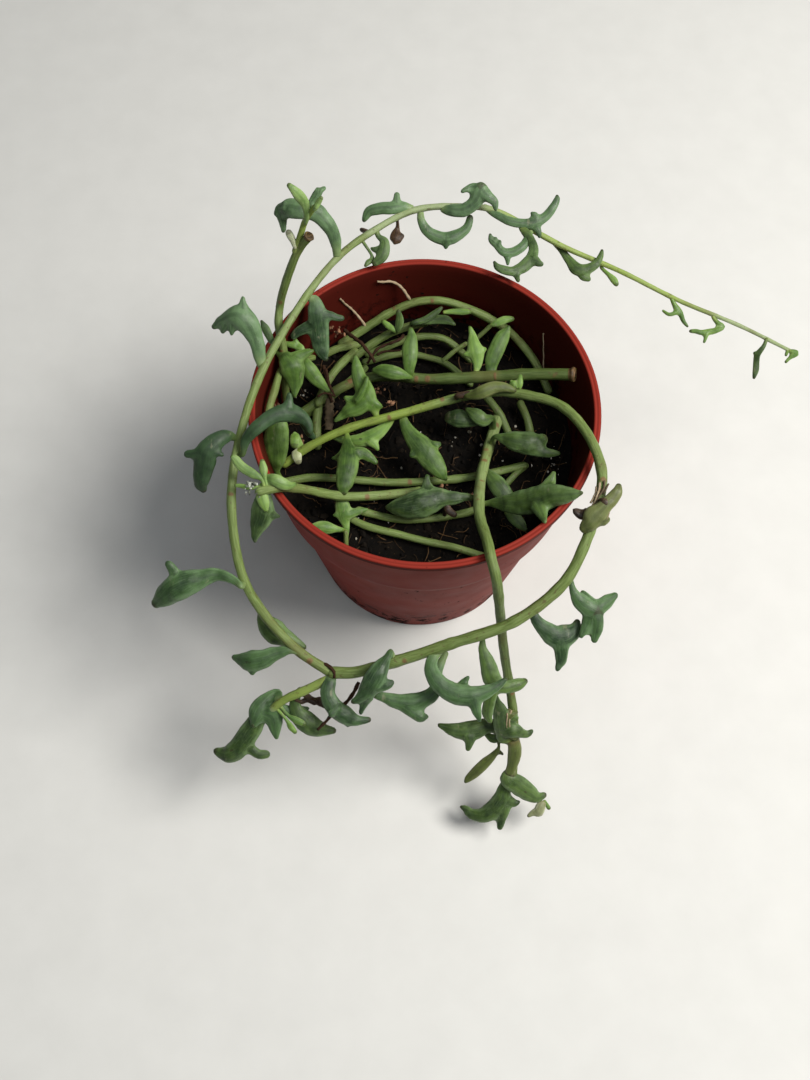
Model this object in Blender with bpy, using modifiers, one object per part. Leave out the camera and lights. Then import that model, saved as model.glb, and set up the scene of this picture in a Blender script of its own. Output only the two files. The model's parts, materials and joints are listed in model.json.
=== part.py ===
"""Potted string of dolphins: a trailing succulent rooted in a plastic nursery pot.

Metres, +Z up. The origin is the centre of the pot's flat base, and the front is towards -Y.
The tables give places in millimetres, and MM turns them into metres.
"""

import math
from collections import namedtuple

import bmesh
import bpy
from mathutils import Vector

MM = 0.001
GAP = 0.3

# Pot, a standard nursery pot with a turned-out collar and a rolled lip.
POT_HEIGHT = 108.0
RIM_RADIUS = 60.0
BASE_RADIUS = 41.7
WALL = 1.5
FLOOR = 2.0
COLLAR_HEIGHT = 34.5
COLLAR_STEP = 2.0
COLLAR_FOOT_RADIUS = 54.6
LIP_HEIGHT = 2.8
LIP_OVERHANG = 1.6
BEAD = 0.5
POT_STEPS = 40
DRAIN_COUNT = 8
DRAIN_RADIUS = 2.5
DRAIN_RING_RADIUS = 27.0

# Soil
SOIL_TOP = 80.0
SOIL_EDGE = 1.5

# Stems
STEM_SPACING = 7.0
SHORT_STEM_SPACING = 5.0
STEM_SIDES_RESOLUTION = 1

# Leaves
LEAF_RINGS = 8
LEAF_SIDES = 6
LEAF_THICKNESS = 0.55
LEAF_FOOT = 0.24
LEAF_TIP = 0.10
FOOT_RUN = 2.0

Stem = namedtuple("Stem", "name radius_start radius_end path")
Leaf = namedtuple("Leaf", "name stem at path width fins tone")

# Each stem runs through these points, from its rooted or older end to its tip.
STEMS = (
    Stem("main_stem", 1.4, 2.0, (
        (-49, -11, 81.7), (-40, -6, 86.8), (-26, -1, 92), (-8, 3, 96), (11, 8, 99), (23, 9, 102),
        (34, 6, 106), (46, 0, 109.5), (54, -12, 112.5), (58, -25, 113), (57, -36, 112),
        (52, -51, 106.5), (45, -62, 100), (30, -72, 92.5), (10, -77, 84), (-6, -81, 78),
        (-20, -84, 73), (-29, -84, 71))),
    Stem("runner_stem", 1.7, 0.7, (
        (-30.7, -83.4, 71.2), (-42, -77, 76), (-53, -67, 84), (-60, -56, 94), (-63, -36, 106),
        (-61, -14, 111), (-55, 8, 114.5), (-44, 33, 115.5), (-33, 52, 115.5), (-21, 64, 116),
        (-5, 74, 117), (13, 76, 117), (26, 76, 114), (48, 67, 108), (71, 62, 100),
        (94, 57, 90), (119, 54, 79), (142, 50, 68))),
    Stem("branch_stem", 1.6, 1.3, (
        (-31.2, -86.2, 69.5), (-40, -89.5, 65.5), (-47, -92, 61.5), (-53, -96, 55.5))),
    Stem("front_stem", 1.9, 1.5, (
        (27, 10, 82.4), (23, -5, 86), (20, -20, 91), (19, -36, 99), (21, -50, 108.5),
        (22, -57, 110.8), (24, -63, 107), (27, -68, 85), (30, -75, 66), (34, -88, 49),
        (36, -99, 36), (36, -107, 27))),
    Stem("back_stem", 1.5, 1.5, (
        (-31, 40, 81.7), (-22, 45, 85), (-13, 49, 89.5), (-4, 51, 93.5), (5, 51.3, 94.5),
        (14, 49.5, 93.5), (24, 46, 91), (32, 41, 89), (40, 32, 86), (45.5, 22, 81.8))),
    Stem("cut_stem", 1.7, 2.1, (
        (-45, 9, 82.3), (-35, 15, 86), (-24, 20, 89), (-12, 21, 91), (2, 19, 93),
        (20, 18, 97), (37, 16.5, 102), (50, 14.5, 106))),
    Stem("upright_stem", 1.4, 1.4, (
        (-49.5, 12.5, 81.7), (-49.7, 15.5, 92), (-49.7, 19, 100), (-49.7, 22.5, 105.5), (-51, 28, 111.5),
        (-50.5, 33, 116), (-48.5, 35, 124), (-45, 38, 134), (-42.5, 40, 139), (-39.5, 40.5, 144))),
    Stem("side_shoot", 1.1, 0.8, (
        (-45.3, 40.3, 138), (-42.5, 43, 143.5), (-40.5, 44, 148), (-38.5, 44, 152.5), (-36.5, 43.5, 156))),
    Stem("low_stem", 1.4, 1.4, (
        (-49, -18, 81.8), (-40, -16, 81.8), (-30, -16, 81.8), (-11, -17, 81.8), (3, -16, 81.8),
        (12, -15, 81.8), (22, -13, 81.8), (36, -9, 81.8))),
    Stem("rim_stem", 1.6, 1.5, (
        (-1, -21, 83.7), (-15, -24, 86), (-28, -27, 91), (-40, -30, 102), (-46.5, -33.5, 110.3),
        (-53, -36, 112.3))),
    Stem("root_loop", 1.3, 1.3, (
        (-22, -28.5, 83), (-17, -29.5, 82), (-9, -31, 81.7), (-2, -31, 81.7), (6, -30, 81.7),
        (15, -28, 81.7), (20, -26, 81.7))),
    Stem("front_root", 1.3, 1.3, (
        (-27, -30, 82), (-19, -34, 81.7), (-7, -37, 81.7), (1, -39, 81.7), (11, -41, 81.7),
        (21, -44, 81.7))),
)

# A leaf leaves its stem at this share of the stem's length. Its path and tip are counted
# from the stem's centre there. A fin is (share of the leaf's length, reach), left positive.
LEAVES = (
    Leaf("leaf_left_high", "runner_stem", 0.33, ((-5, 8, 6), (-9, 14, 10), (-18, 8, 5)),
         8, ((0.625, -6), (0.75, 5)), "blue"),
    Leaf("leaf_left_inner", "runner_stem", 0.41, ((4, -7, -3), (6, -17, -14)),
         9, ((0.5, 8), (0.5, -8)), "blue"),
    Leaf("leaf_back_arch", "runner_stem", 0.47,
         ((-1, 5, 6), (-4, 8, 11), (-12, 10, 15), (-19, 9, 14), (-20, 3, 7)),
         6, ((0.75, -5),), "blue"),
    Leaf("leaf_left_mid", "runner_stem", 0.25, ((-6, 1, 4), (-11, -3, 3), (-12, -16, -8)),
         8, ((0.5, -7), (0.5, 5.5)), "blue"),
    Leaf("leaf_over_rim", "runner_stem", 0.24, ((8, 6, 6), (16, 11, 8), (24, 4, 3)),
         7, ((0.625, 6),), "blue"),
    Leaf("leaf_left_low", "runner_stem", 0.11, ((-6, 3, 3), (-18, 1, 1), (-30, -8, -7)),
         9, ((0.75, -8),), "blue"),
    Leaf("leaf_loop_under", "runner_stem", 0.08, ((6, -2, -8), (15, -8, -16)), 7, (), "green"),
    Leaf("leaf_loop_left", "runner_stem", 0.03, ((-8, 1, -2), (-23, -4, -5)),
         8, ((0.625, 6),), "blue"),
    Leaf("leaf_back_left", "runner_stem", 0.55, ((-7, 1, 5), (-18, -4, 1)),
         5, ((0.375, -5),), "blue"),
    Leaf("leaf_back_rim", "runner_stem", 0.515, ((2, -5, -1), (-5, -10, -4)), 5, ((0.75, 4),), "green"),
    Leaf("leaf_back_cup", "runner_stem", 0.565, ((2, -4, -5), (9, -8, -9), (16, -6, -8), (19, -3, -5)),
         5, ((0.5, -4),), "blue"),
    Leaf("leaf_back_top", "runner_stem", 0.61, ((2, 3, 6), (9, -1, 4)),
         6, ((0.25, 5), (0.5, 4.5)), "blue"),
    Leaf("leaf_back_wave", "runner_stem", 0.635, ((6, -3, -5), (15, -2, -7), (26, 9, -3)),
         5.5, ((0.625, 4), (0.5, -5)), "blue"),
    Leaf("leaf_back_hook", "runner_stem", 0.67, ((3, -9, 0), (0, -17, 0), (-11, -18, 1)),
         5, ((0.375, 5), (0.75, 4.5)), "green"),
    Leaf("leaf_back_right", "runner_stem", 0.71, ((4, -7, -3), (11, -9, -4), (16, -3, -3)),
         5, ((0.5, -5),), "green"),
    Leaf("leaf_far_first", "runner_stem", 0.84, ((2, -5, -2), (7, -10, -5)), 4, ((0.375, -4.5),), "green"),
    Leaf("leaf_far_second", "runner_stem", 0.89, ((4, -5, -3), (-5, -8, -5)), 4, ((0.625, 4.5),), "green"),
    Leaf("leaf_far_third", "runner_stem", 0.96, ((-3, -5, -4), (-4, -13, -8)), 3, (), "green"),
    Leaf("leaf_shoot", "side_shoot", 0.6, ((-3, 3, 5), (-6, 5, 12)), 4, (), "young"),
    Leaf("leaf_left_stem", "upright_stem", 0.3, ((5, -3, 2), (6, -12, -6)),
         8, ((0.375, 7), (0.375, -6)), "young"),
    Leaf("leaf_left_oval", "main_stem", 0.03, ((-3, -3, 8), (-3, 1, 14), (-2, 8, 20)), 8, (), "green"),
    Leaf("leaf_inner_star", "main_stem", 0.08, ((3, 5, 5), (9, 10, 10), (7, 22, 15)),
         9, ((0.375, 6), (0.5, -8)), "green"),
    Leaf("leaf_centre", "cut_stem", 0.43, ((0, 8, 7), (0, 15, 9)), 6, (), "green"),
    Leaf("leaf_centre_fork", "cut_stem", 0.64, ((0, 7, 6), (-2, 15, 10)),
         6, ((0.5, 4.5), (0.5, -4.5)), "green"),
    Leaf("leaf_centre_right", "cut_stem", 0.7, ((4, 7, 7), (6, 14, 11)), 6, (), "green"),
    Leaf("leaf_right_inner", "front_stem", 0.06, ((11, -6, 4), (22, -8, 5)), 8, (), "green"),
    Leaf("leaf_inner_star_low", "main_stem", 0.18, ((2, -5, -5), (8, -11, -8), (16, -20, -9)),
         9, ((0.5, -4.5), (0.625, 5.5)), "green"),
    Leaf("leaf_front_wide", "front_stem", 0.21, ((-5, -1, -1), (-17, -1, -2), (-31, -4, -5)),
         9, ((0.5, -7), (0.625, 6.5)), "green"),
    Leaf("leaf_inner_hang", "main_stem", 0.1, ((-1, -6, -3), (0, -13, -2), (-1, -22, 0)),
         7, ((0.5, 8), (0.375, -5.5)), "green"),
    Leaf("leaf_node", "main_stem", 0.25, ((2, -1, 6), (9, 1, 9), (17, 0, 11)), 5, (), "dry"),
    Leaf("leaf_front_shark", "front_stem", 0.26, ((5, 1, 2), (16, 1, 7), (31, 1, 14)),
         9, ((0.625, 7.5), (0.625, -8.5)), "green"),
    Leaf("leaf_rim_tip", "rim_stem", 0.93, ((-2, -5, 1), (-4, -11, -3), (-7, -17, -12)),
         7, ((0.5, 5.5),), "young"),
    Leaf("leaf_loop_right", "main_stem", 0.72, ((6, -7, -4), (11, -18, -12)), 8, ((0.375, 9.5),), "blue"),
    Leaf("leaf_loop_corner", "main_stem", 0.67, ((9, -9, -2), (12, -18, -9)),
         8, ((0.5, 8), (0.5, -4.5)), "blue"),
    Leaf("leaf_loop_whale", "main_stem", 0.84,
         ((-5, -8, -2), (-2, -16, -4), (8, -17, -4), (21, -12, -3)),
         7, ((0.75, -8), (0.625, 5)), "blue"),
    Leaf("leaf_loop_deep", "main_stem", 0.79, ((2, -6, -9), (5, -14, -17), (5, -23, -24)), 7, (), "green"),
    Leaf("leaf_loop_low", "main_stem", 0.86, ((0, -7, -6), (-3, -14, -11), (-11, -17, -13), (-19, -16, -12)),
         6.5, ((0.625, 6),), "blue"),
    Leaf("leaf_loop_silver", "main_stem", 0.925, ((-3, -5, 3), (-6, -9, 1), (-12, -14, -5)),
         7.5, ((0.5, 6.5),), "blue"),
    Leaf("leaf_loop_end", "main_stem", 0.975, ((-4, -6, -4), (0, -13, -6), (10, -17, -8)),
         6.5, ((0.5, -5.5), (0.75, -5)), "green"),
    Leaf("leaf_branch_tip", "branch_stem", 0.97, ((-3, -5, -3), (-9, -9, -5), (-18, -12, -12)),
         8, ((0.375, 8), (0.75, -5)), "green"),
    Leaf("leaf_branch_low", "branch_stem", 0.9, ((3, -4, -3), (7, -6, -6), (15, 0, -8)),
         6, ((0.5, -5),), "green"),
    Leaf("leaf_branch_side", "branch_stem", 0.35, ((3, -5, -1), (6, -10, -6), (12, -13, -12)),
         7, ((0.625, -5),), "green"),
    Leaf("leaf_front_up", "front_stem", 0.86, ((-5, -1, 2), (-8, 3, 4), (-8, 13, 8)), 7, (), "green"),
    Leaf("leaf_front_dark", "front_stem", 0.89, ((-6, -1, -1), (-17, -3, -3), (-27, 1, -3)),
         7, ((0.625, 5),), "blue"),
    Leaf("leaf_front_low", "front_stem", 0.975, ((4, -3, -4), (9, -7, -8), (14, -9, -12)), 6, (), "green"),
    Leaf("leaf_front_end", "front_stem", 0.97, ((-4, -5, -6), (-9, -15, -16), (-19, -15, -19)),
         7.5, ((0.625, 7),), "green"),
)

# Colour, roughness
POT_LOOK = ((0.42, 0.11, 0.07), 0.5)
SOIL_LOOK = ((0.03, 0.02, 0.015), 0.95)
STEM_LOOK = ((0.30, 0.38, 0.13), 0.5)
LEAF_LOOKS = {
    "blue": ((0.12, 0.22, 0.15), 0.45),
    "green": ((0.16, 0.29, 0.09), 0.4),
    "young": ((0.36, 0.50, 0.15), 0.4),
    "dry": ((0.33, 0.36, 0.16), 0.6),
}


def clear_scene():
    for obj in list(bpy.data.objects):
        bpy.data.objects.remove(obj, do_unlink=True)


def new_collection(name):
    collection = bpy.data.collections.new(name)
    bpy.context.scene.collection.children.link(collection)
    return collection


def make_material(name, look):
    colour, roughness = look
    material = bpy.data.materials.new(name)
    material.use_nodes = True
    shader = material.node_tree.nodes["Principled BSDF"]
    shader.inputs["Base Color"].default_value = (*colour, 1.0)
    shader.inputs["Roughness"].default_value = roughness
    return material


def add_object(name, data, look, collection):
    """Link a new object that has its own material."""
    data.materials.append(make_material(name, look))
    obj = bpy.data.objects.new(name, data)
    collection.objects.link(obj)
    return obj


def turned_mesh(name, profile):
    """A profile of (radius, height), turned round the Z axis by a Screw modifier."""
    mesh = bpy.data.meshes.new(name)
    points = [(radius * MM, 0.0, height * MM) for radius, height in profile]
    edges = [(i, i + 1) for i in range(len(points) - 1)]
    mesh.from_pydata(points, edges, [])
    return mesh


def add_screw(obj, steps):
    screw = obj.modifiers.new("turn", "SCREW")
    screw.steps = steps
    screw.render_steps = steps
    screw.use_merge_vertices = True
    screw.merge_threshold = 0.00001


def collar_foot():
    return POT_HEIGHT - COLLAR_HEIGHT


def pot_outer():
    """Outer profile of the pot from the lip's crown down to the middle of the base."""
    lip_foot = POT_HEIGHT - LIP_HEIGHT
    collar_top_radius = RIM_RADIUS - LIP_OVERHANG
    foot = collar_foot()
    body_top_radius = COLLAR_FOOT_RADIUS - COLLAR_STEP
    return [
        (RIM_RADIUS - BEAD, POT_HEIGHT),
        (RIM_RADIUS, POT_HEIGHT - BEAD),
        (RIM_RADIUS, lip_foot + BEAD),
        (collar_top_radius, lip_foot),
        (collar_top_radius - 0.1, lip_foot - 2 * BEAD),
        (collar_top_radius + 0.4, lip_foot - 3 * BEAD),
        (collar_top_radius - 0.3, lip_foot - 4 * BEAD),
        (COLLAR_FOOT_RADIUS, foot),
        (body_top_radius, foot - BEAD),
        (BASE_RADIUS, 2 * BEAD),
        (BASE_RADIUS - 2 * BEAD, 0.0),
        (0.0, 0.0),
    ]


def pot_inner():
    """Inner profile of the pot from the middle of the floor up to the lip's crown."""
    foot = collar_foot()
    return [
        (0.0, FLOOR),
        (BASE_RADIUS - WALL, FLOOR),
        (COLLAR_FOOT_RADIUS - COLLAR_STEP - WALL, foot + WALL / 2),
        (COLLAR_FOOT_RADIUS - WALL, foot + WALL + BEAD),
        (RIM_RADIUS - LIP_OVERHANG - WALL, POT_HEIGHT - LIP_HEIGHT),
        (RIM_RADIUS - LIP_OVERHANG - WALL + BEAD, POT_HEIGHT - BEAD),
        (RIM_RADIUS - LIP_OVERHANG, POT_HEIGHT),
    ]


def inner_radius(height):
    """Radius of the pot's inner wall at a height."""
    wall = pot_inner()
    for (low_radius, low), (high_radius, high) in zip(wall[1:], wall[2:]):
        if low <= height <= high:
            share = (height - low) / (high - low)
            return low_radius + share * (high_radius - low_radius)
    raise ValueError(height)


def make_pot(collection, cutters):
    pot = add_object("pot", turned_mesh("pot", pot_inner() + pot_outer()), POT_LOOK, collection)
    add_screw(pot, POT_STEPS)
    for i in range(DRAIN_COUNT):
        angle = 2 * math.pi * (i + 0.5) / DRAIN_COUNT
        cutter = make_drain_cutter(angle, cutters)
        cut = pot.modifiers.new(cutter.name, "BOOLEAN")
        cut.operation = "DIFFERENCE"
        cut.object = cutter


def make_drain_cutter(angle, cutters):
    form = bmesh.new()
    bmesh.ops.create_cone(
        form, cap_ends=True, segments=12, radius1=DRAIN_RADIUS * MM, radius2=DRAIN_RADIUS * MM,
        depth=4 * FLOOR * MM)
    mesh = bpy.data.meshes.new("drain_cutter")
    form.to_mesh(mesh)
    form.free()
    cutter = bpy.data.objects.new("drain_cutter", mesh)
    cutter.location = (DRAIN_RING_RADIUS * math.cos(angle) * MM, DRAIN_RING_RADIUS * math.sin(angle) * MM, 0)
    cutter.hide_render = True
    cutter.display_type = "WIRE"
    cutters.objects.link(cutter)
    return cutter


def make_soil(collection):
    """The root ball fills the pot up to the level of the crown."""
    _, _, step, ledge = pot_inner()[:4]
    foot = FLOOR + GAP
    profile = [
        (0.0, SOIL_TOP),
        (inner_radius(SOIL_TOP) - GAP - SOIL_EDGE, SOIL_TOP),
        (inner_radius(SOIL_TOP - SOIL_EDGE) - GAP, SOIL_TOP - SOIL_EDGE),
        (ledge[0] - GAP, ledge[1]),
        (step[0] - GAP, step[1]),
        (inner_radius(foot) - GAP, foot),
        (0.0, foot),
    ]
    soil = add_object("soil", turned_mesh("soil", profile), SOIL_LOOK, collection)
    add_screw(soil, POT_STEPS)


def spline_point(a, b, c, d, t):
    """A point between b and c on the Catmull-Rom curve through a, b, c and d."""
    return 0.5 * (
        2 * b + (c - a) * t + (2 * a - 5 * b + 4 * c - d) * t * t + (3 * b - a - 3 * c + d) * t ** 3)


def smooth_path(points, count):
    """Count + 1 evenly spaced points along a smooth curve through the given points."""
    knots = [2 * points[0] - points[1], *points, 2 * points[-1] - points[-2]]
    fine = []
    for i in range(len(points) - 1):
        fine += [spline_point(*knots[i:i + 4], step / 12) for step in range(12)]
    fine.append(points[-1])
    travelled = [0.0]
    for before, after in zip(fine, fine[1:]):
        travelled.append(travelled[-1] + (after - before).length)
    even = []
    at = 0
    for i in range(count + 1):
        target = travelled[-1] * i / count
        while at < len(fine) - 2 and travelled[at + 1] < target:
            at += 1
        share = (target - travelled[at]) / (travelled[at + 1] - travelled[at])
        even.append(fine[at].lerp(fine[at + 1], share))
    return even


def path_length(points):
    return sum((after - before).length for before, after in zip(points, points[1:]))


def stem_centres(stem):
    knots = [Vector(point) for point in stem.path]
    length = path_length(knots)
    spacing = STEM_SPACING if length > 100 else SHORT_STEM_SPACING
    return smooth_path(knots, max(4, round(length / spacing)))


def stem_radius(stem, share):
    return stem.radius_start + (stem.radius_end - stem.radius_start) * share


def make_stem(stem, collection):
    """A tapered tube along the stem's curve, closed at both ends."""
    centres = stem_centres(stem)
    curve = bpy.data.curves.new(stem.name, "CURVE")
    curve.dimensions = "3D"
    curve.bevel_depth = MM
    curve.bevel_resolution = STEM_SIDES_RESOLUTION
    curve.use_fill_caps = True
    spline = curve.splines.new("POLY")
    spline.points.add(len(centres) - 1)
    for i, centre in enumerate(centres):
        spline.points[i].co = (*(centre * MM), 1.0)
        spline.points[i].radius = stem_radius(stem, i / (len(centres) - 1))
    add_object(stem.name, curve, STEM_LOOK, collection)


def leaf_spine(leaf, stem):
    """The leaf's first direction and centre line, which starts squarely just off the stem's skin."""
    centres = stem_centres(stem)
    place = leaf.at * (len(centres) - 1)
    index = min(int(place), len(centres) - 2)
    along = (centres[index + 1] - centres[index]).normalized()
    centre = centres[index].lerp(centres[index + 1], place - index)
    first = Vector(leaf.path[0])
    outward = (first - first.dot(along) * along).normalized()
    start = centre + outward * (stem_radius(stem, leaf.at) + GAP)
    knots = [start, start + outward * FOOT_RUN]
    knots += [centre + Vector(offset) for offset in leaf.path]
    return outward, smooth_path(knots, LEAF_RINGS)


def leaf_half_width(share):
    """Half width along the leaf for a leaf of half width 1: a narrow foot and a blunt tip."""
    foot = LEAF_FOOT * (1 - share) + LEAF_TIP * share
    return foot + (1 - foot) * math.sin(math.pi * share ** 1.35) ** 0.8


def fin_reach(leaf, share, side):
    """How far the leaf's edge reaches on one side, fins included."""
    reach = leaf_half_width(share) * leaf.width / 2
    for place, length in leaf.fins:
        if length * side > 0 and abs(place - share) < 0.5 / LEAF_RINGS:
            reach = max(reach, abs(length))
    return reach


def leaf_ring(leaf, share, centre, along):
    """Points round the leaf: the first and the middle one are on its two edges."""
    across = Vector((0, 0, 1)).cross(along).normalized()
    upward = along.cross(across)
    half_width = leaf_half_width(share) * leaf.width / 2
    half_height = max(half_width * LEAF_THICKNESS, LEAF_FOOT * leaf.width / 2)
    half_height = min(half_height, half_width)
    ring = []
    for i in range(LEAF_SIDES):
        angle = 2 * math.pi * i / LEAF_SIDES
        sideways = math.cos(angle) * half_width
        if i == 0:
            sideways = fin_reach(leaf, share, 1)
        if 2 * i == LEAF_SIDES:
            sideways = -fin_reach(leaf, share, -1)
        ring.append(centre + across * sideways + upward * math.sin(angle) * half_height)
    return ring


def make_leaf(leaf, stems, collection):
    """A loft of rings along the leaf's spine, closed at foot and tip."""
    outward, spine = leaf_spine(leaf, stems[leaf.stem])
    form = bmesh.new()
    rings = []
    for i, centre in enumerate(spine):
        along = outward
        if i > 0:
            along = (spine[min(i + 1, LEAF_RINGS)] - spine[i - 1]).normalized()
        ring = leaf_ring(leaf, i / LEAF_RINGS, centre, along)
        rings.append([form.verts.new(point * MM) for point in ring])
    for low, high in zip(rings, rings[1:]):
        for i in range(LEAF_SIDES):
            j = (i + 1) % LEAF_SIDES
            form.faces.new((low[i], low[j], high[j], high[i]))
    form.faces.new(reversed(rings[0]))
    form.faces.new(rings[-1])
    mesh = bpy.data.meshes.new(leaf.name)
    form.to_mesh(mesh)
    form.free()
    mesh.shade_smooth()
    add_object(leaf.name, mesh, LEAF_LOOKS[leaf.tone], collection)


def main():
    clear_scene()
    collection = new_collection("potted_string_of_dolphins")
    cutters = new_collection("cutters")
    make_pot(collection, cutters)
    make_soil(collection)
    stems = {stem.name: stem for stem in STEMS}
    for stem in STEMS:
        make_stem(stem, collection)
    for leaf in LEAVES:
        make_leaf(leaf, stems, collection)


main()
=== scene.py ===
"""The looks of the potted string of dolphins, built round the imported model.

The stem and leaf tables repeat the part's own routes, in millimetres. Every solid of the part is
replaced by a piece at full detail. Small stems, buds, roots, bark, crumbs and flakes are shown here only.
"""
import json
import math
import random
from collections import namedtuple

import bmesh
import bpy
import numpy as np
from mathutils import Matrix, Vector, noise

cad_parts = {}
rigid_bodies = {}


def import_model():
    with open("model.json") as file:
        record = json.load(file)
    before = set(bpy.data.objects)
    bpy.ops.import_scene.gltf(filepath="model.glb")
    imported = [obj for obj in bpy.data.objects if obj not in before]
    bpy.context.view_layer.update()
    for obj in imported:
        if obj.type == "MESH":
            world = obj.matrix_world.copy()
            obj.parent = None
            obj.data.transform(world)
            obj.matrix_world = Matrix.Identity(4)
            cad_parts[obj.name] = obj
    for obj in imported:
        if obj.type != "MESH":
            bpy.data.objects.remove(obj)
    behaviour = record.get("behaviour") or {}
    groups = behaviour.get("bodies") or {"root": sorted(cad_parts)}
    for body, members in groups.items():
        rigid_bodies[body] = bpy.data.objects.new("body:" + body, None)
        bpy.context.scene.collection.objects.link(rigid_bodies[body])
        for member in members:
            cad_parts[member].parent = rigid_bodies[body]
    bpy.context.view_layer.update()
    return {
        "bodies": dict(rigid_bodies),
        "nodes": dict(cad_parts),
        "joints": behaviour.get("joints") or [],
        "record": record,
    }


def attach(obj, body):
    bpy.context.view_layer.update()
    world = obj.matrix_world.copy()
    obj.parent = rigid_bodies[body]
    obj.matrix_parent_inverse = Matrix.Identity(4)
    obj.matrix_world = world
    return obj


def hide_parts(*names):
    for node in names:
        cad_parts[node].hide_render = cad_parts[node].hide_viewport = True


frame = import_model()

MM = 0.001
GAP = 0.3
CURVE_STEPS = 24

# Camera
CAMERA_PLACE = (-5.6, -201.9, 464.2)
CAMERA_PITCH = math.radians(66.91)
CAMERA_ROLL = math.radians(1.41)
CAMERA_LENS = 40.0
CAMERA_SENSOR = 36.0

# Light and floor
FLOOR_REACH = 1500
LIGHT_TARGET = (0, 0, 0.08)
LIGHT_SIZE = 0.6
KEY_PLACE = (0.66, -0.05, 0.98)
KEY_POWER = 20.0
KEY_COLOUR = (1.0, 0.97, 0.93)
TOP_PLACE = (0.0, -0.35, 1.15)
TOP_POWER = 3.0
TOP_COLOUR = (0.92, 0.96, 1.0)
SKY_COLOUR = (0.86, 0.93, 1.0, 1.0)
SKY_STRENGTH = 0.105

# Pot
POT_HEIGHT = 108.0
RIM_RADIUS = 60.0
BASE_RADIUS = 41.7
WALL = 1.5
POT_FLOOR = 2.0
COLLAR_FOOT = 73.5
COLLAR_FOOT_RADIUS = 54.6
COLLAR_TOP_RADIUS = 58.4
BODY_TOP_RADIUS = 52.6
LIP_FOOT = 105.2
LIP_ROUND = 0.75
LIP_INNER_ROUND = 0.7
LIP_FOOT_ROUND = 0.5
LIP_INSET = 0.3
BEAD_ROUND = 0.45
BASE_ROUND = 1.0
BASE_HOLLOW = 0.25
DRAIN_COUNT = 8
DRAIN_RADIUS = 2.5
DRAIN_RING_RADIUS = 27.0
DRAIN_SIDES = 28
POT_STEPS = 160
POT_WARP = 0.12
POT_WARP_HEIGHT = 30

# Soil
SOIL_TOP = 79.7
SOIL_ROUGHNESS = 1.1
SOIL_SINK = 0.6
SOIL_RINGS = 95
SOIL_STEPS = 200
SOIL_RING_POWER = 0.8
SOIL_EDGE_START = 0.93
SOIL_EDGE_WIDTH = 0.07
SOIL_EDGE_RISE = 1.2
SOIL_EDGE_LUMP = 6
# Each layer of the surface: how much it weighs, how wide its forms are and where it lies in the noise.
SOIL_LAYERS = ((0.7, 22, 3.0), (0.8, 5.5, 9.0), (0.55, 1.9, 15.0), (0.25, 0.8, 21.0))
CRUMB_COUNT = 620
CRUMB_SIZES = (0.35, 0.5, 0.7, 0.7, 1.0, 1.5)
CRUMB_RISE = 0.2
SPREAD_REACH = 0.985
GRIT_SIZES = (0.2, 0.6)
GRIT_SINK = 0.2
GRIT_CLEARANCE = 1.5
FLAKE_SIZES = (0.3, 0.75)
LUMP_STRETCH = (0.6, 1.3)
LUMP_ROUGHNESS = 0.45
LUMP_DENTS = 1.3
FIBRE_COUNT = 300
FIBRE_LENGTHS = (2.5, 9)
FIBRE_RADII = (0.09, 0.28)
FIBRE_TAPER = 0.7
FIBRE_SWAY = 0.6
FIBRE_LIFT = (-0.6, 0.9)
FIBRE_POINTS = 4
FIBRE_SIDES = 5
FIBRE_RING = 1.2
FIBRE_CLEARANCE = 1.2

# Threads
THREAD_SIDES = 12
THREAD_RING = 0.7
THREAD_TINT = 0.5
THREAD_WANDER = 0.25
THREAD_WANDER_LENGTH = 3
THREAD_KNOT = 0.15
THREAD_KNOT_TURN = 40

# Stems
STEM_SIDES = 18
STEM_RING = 0.9
NODE_SWELL = 0.07
NODE_LENGTH = 2.0
NODE_SPACING = 21.0
NODE_SPACING_RANGE = (0.6, 1.4)
NODE_FIRST = 4
STEM_LEAST_RINGS = 8
STEM_UNEVEN = 0.07
STEM_UNEVEN_LENGTH = 5
STEM_RIDGES = 5
STEM_RIDGE_HEIGHT = 0.035
STEM_RIDGE_TWIST = 9
STEM_LUMP_HEIGHT = 0.05
STEM_LUMP_LENGTH = 4
SCAR_HALF_LENGTH = 1.1
SCAR_SPREAD = 0.5
SCAR_RANGE = (0.7, 1.5)
SCAR_TURN = (-0.7, 0.7)

# Leaves
LEAF_SIDES = 16
LEAF_THICKNESS = 0.62
LEAF_LEAST_HEIGHT = 0.9
LEAF_FACE = (0.0, -0.39, 0.92)
LIMB_RING = 0.6
LIMB_SPREAD = 1.04
LIMB_EXTRA = 0.1
LIMB_LEAST_RINGS = 8
LIMB_STEADY = 0.25
FOOT_REACH = 9.0
FOOT_DEPTH = 0.4
FOOT_WIDTH = 0.8
FOOT_LEAST = 0.5
VOXEL_SHARE = 0.058
VOXEL_LEAST = 0.182
VOXEL_MOST = 0.385
SMOOTH_FACTOR = 0.5
SMOOTH_ROUNDS = 4
WEB = 0.8
FIN_RUN = 8.0
SKIN_WAVE = 0.03
SKIN_WAVE_LENGTH = 3.2
SKIN_GRAIN = 0.006
SKIN_GRAIN_LENGTH = 1.1

# Rings beyond the end of a stem or limb: (forward, size) as shares of the last radius.
ROUND_END = ((0.5, 0.87), (0.86, 0.5), (0.98, 0.2))
CUT_END = ((0.1, 1.02), (0.3, 1.2), (0.55, 1.26), (0.8, 1.1), (0.82, 0.8), (0.55, 0.42), (0.1, 0.3))
CUT_ENDS = ("cut_stem", "upright_stem")
CUT_STARTS = ("front_stem",)

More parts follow.
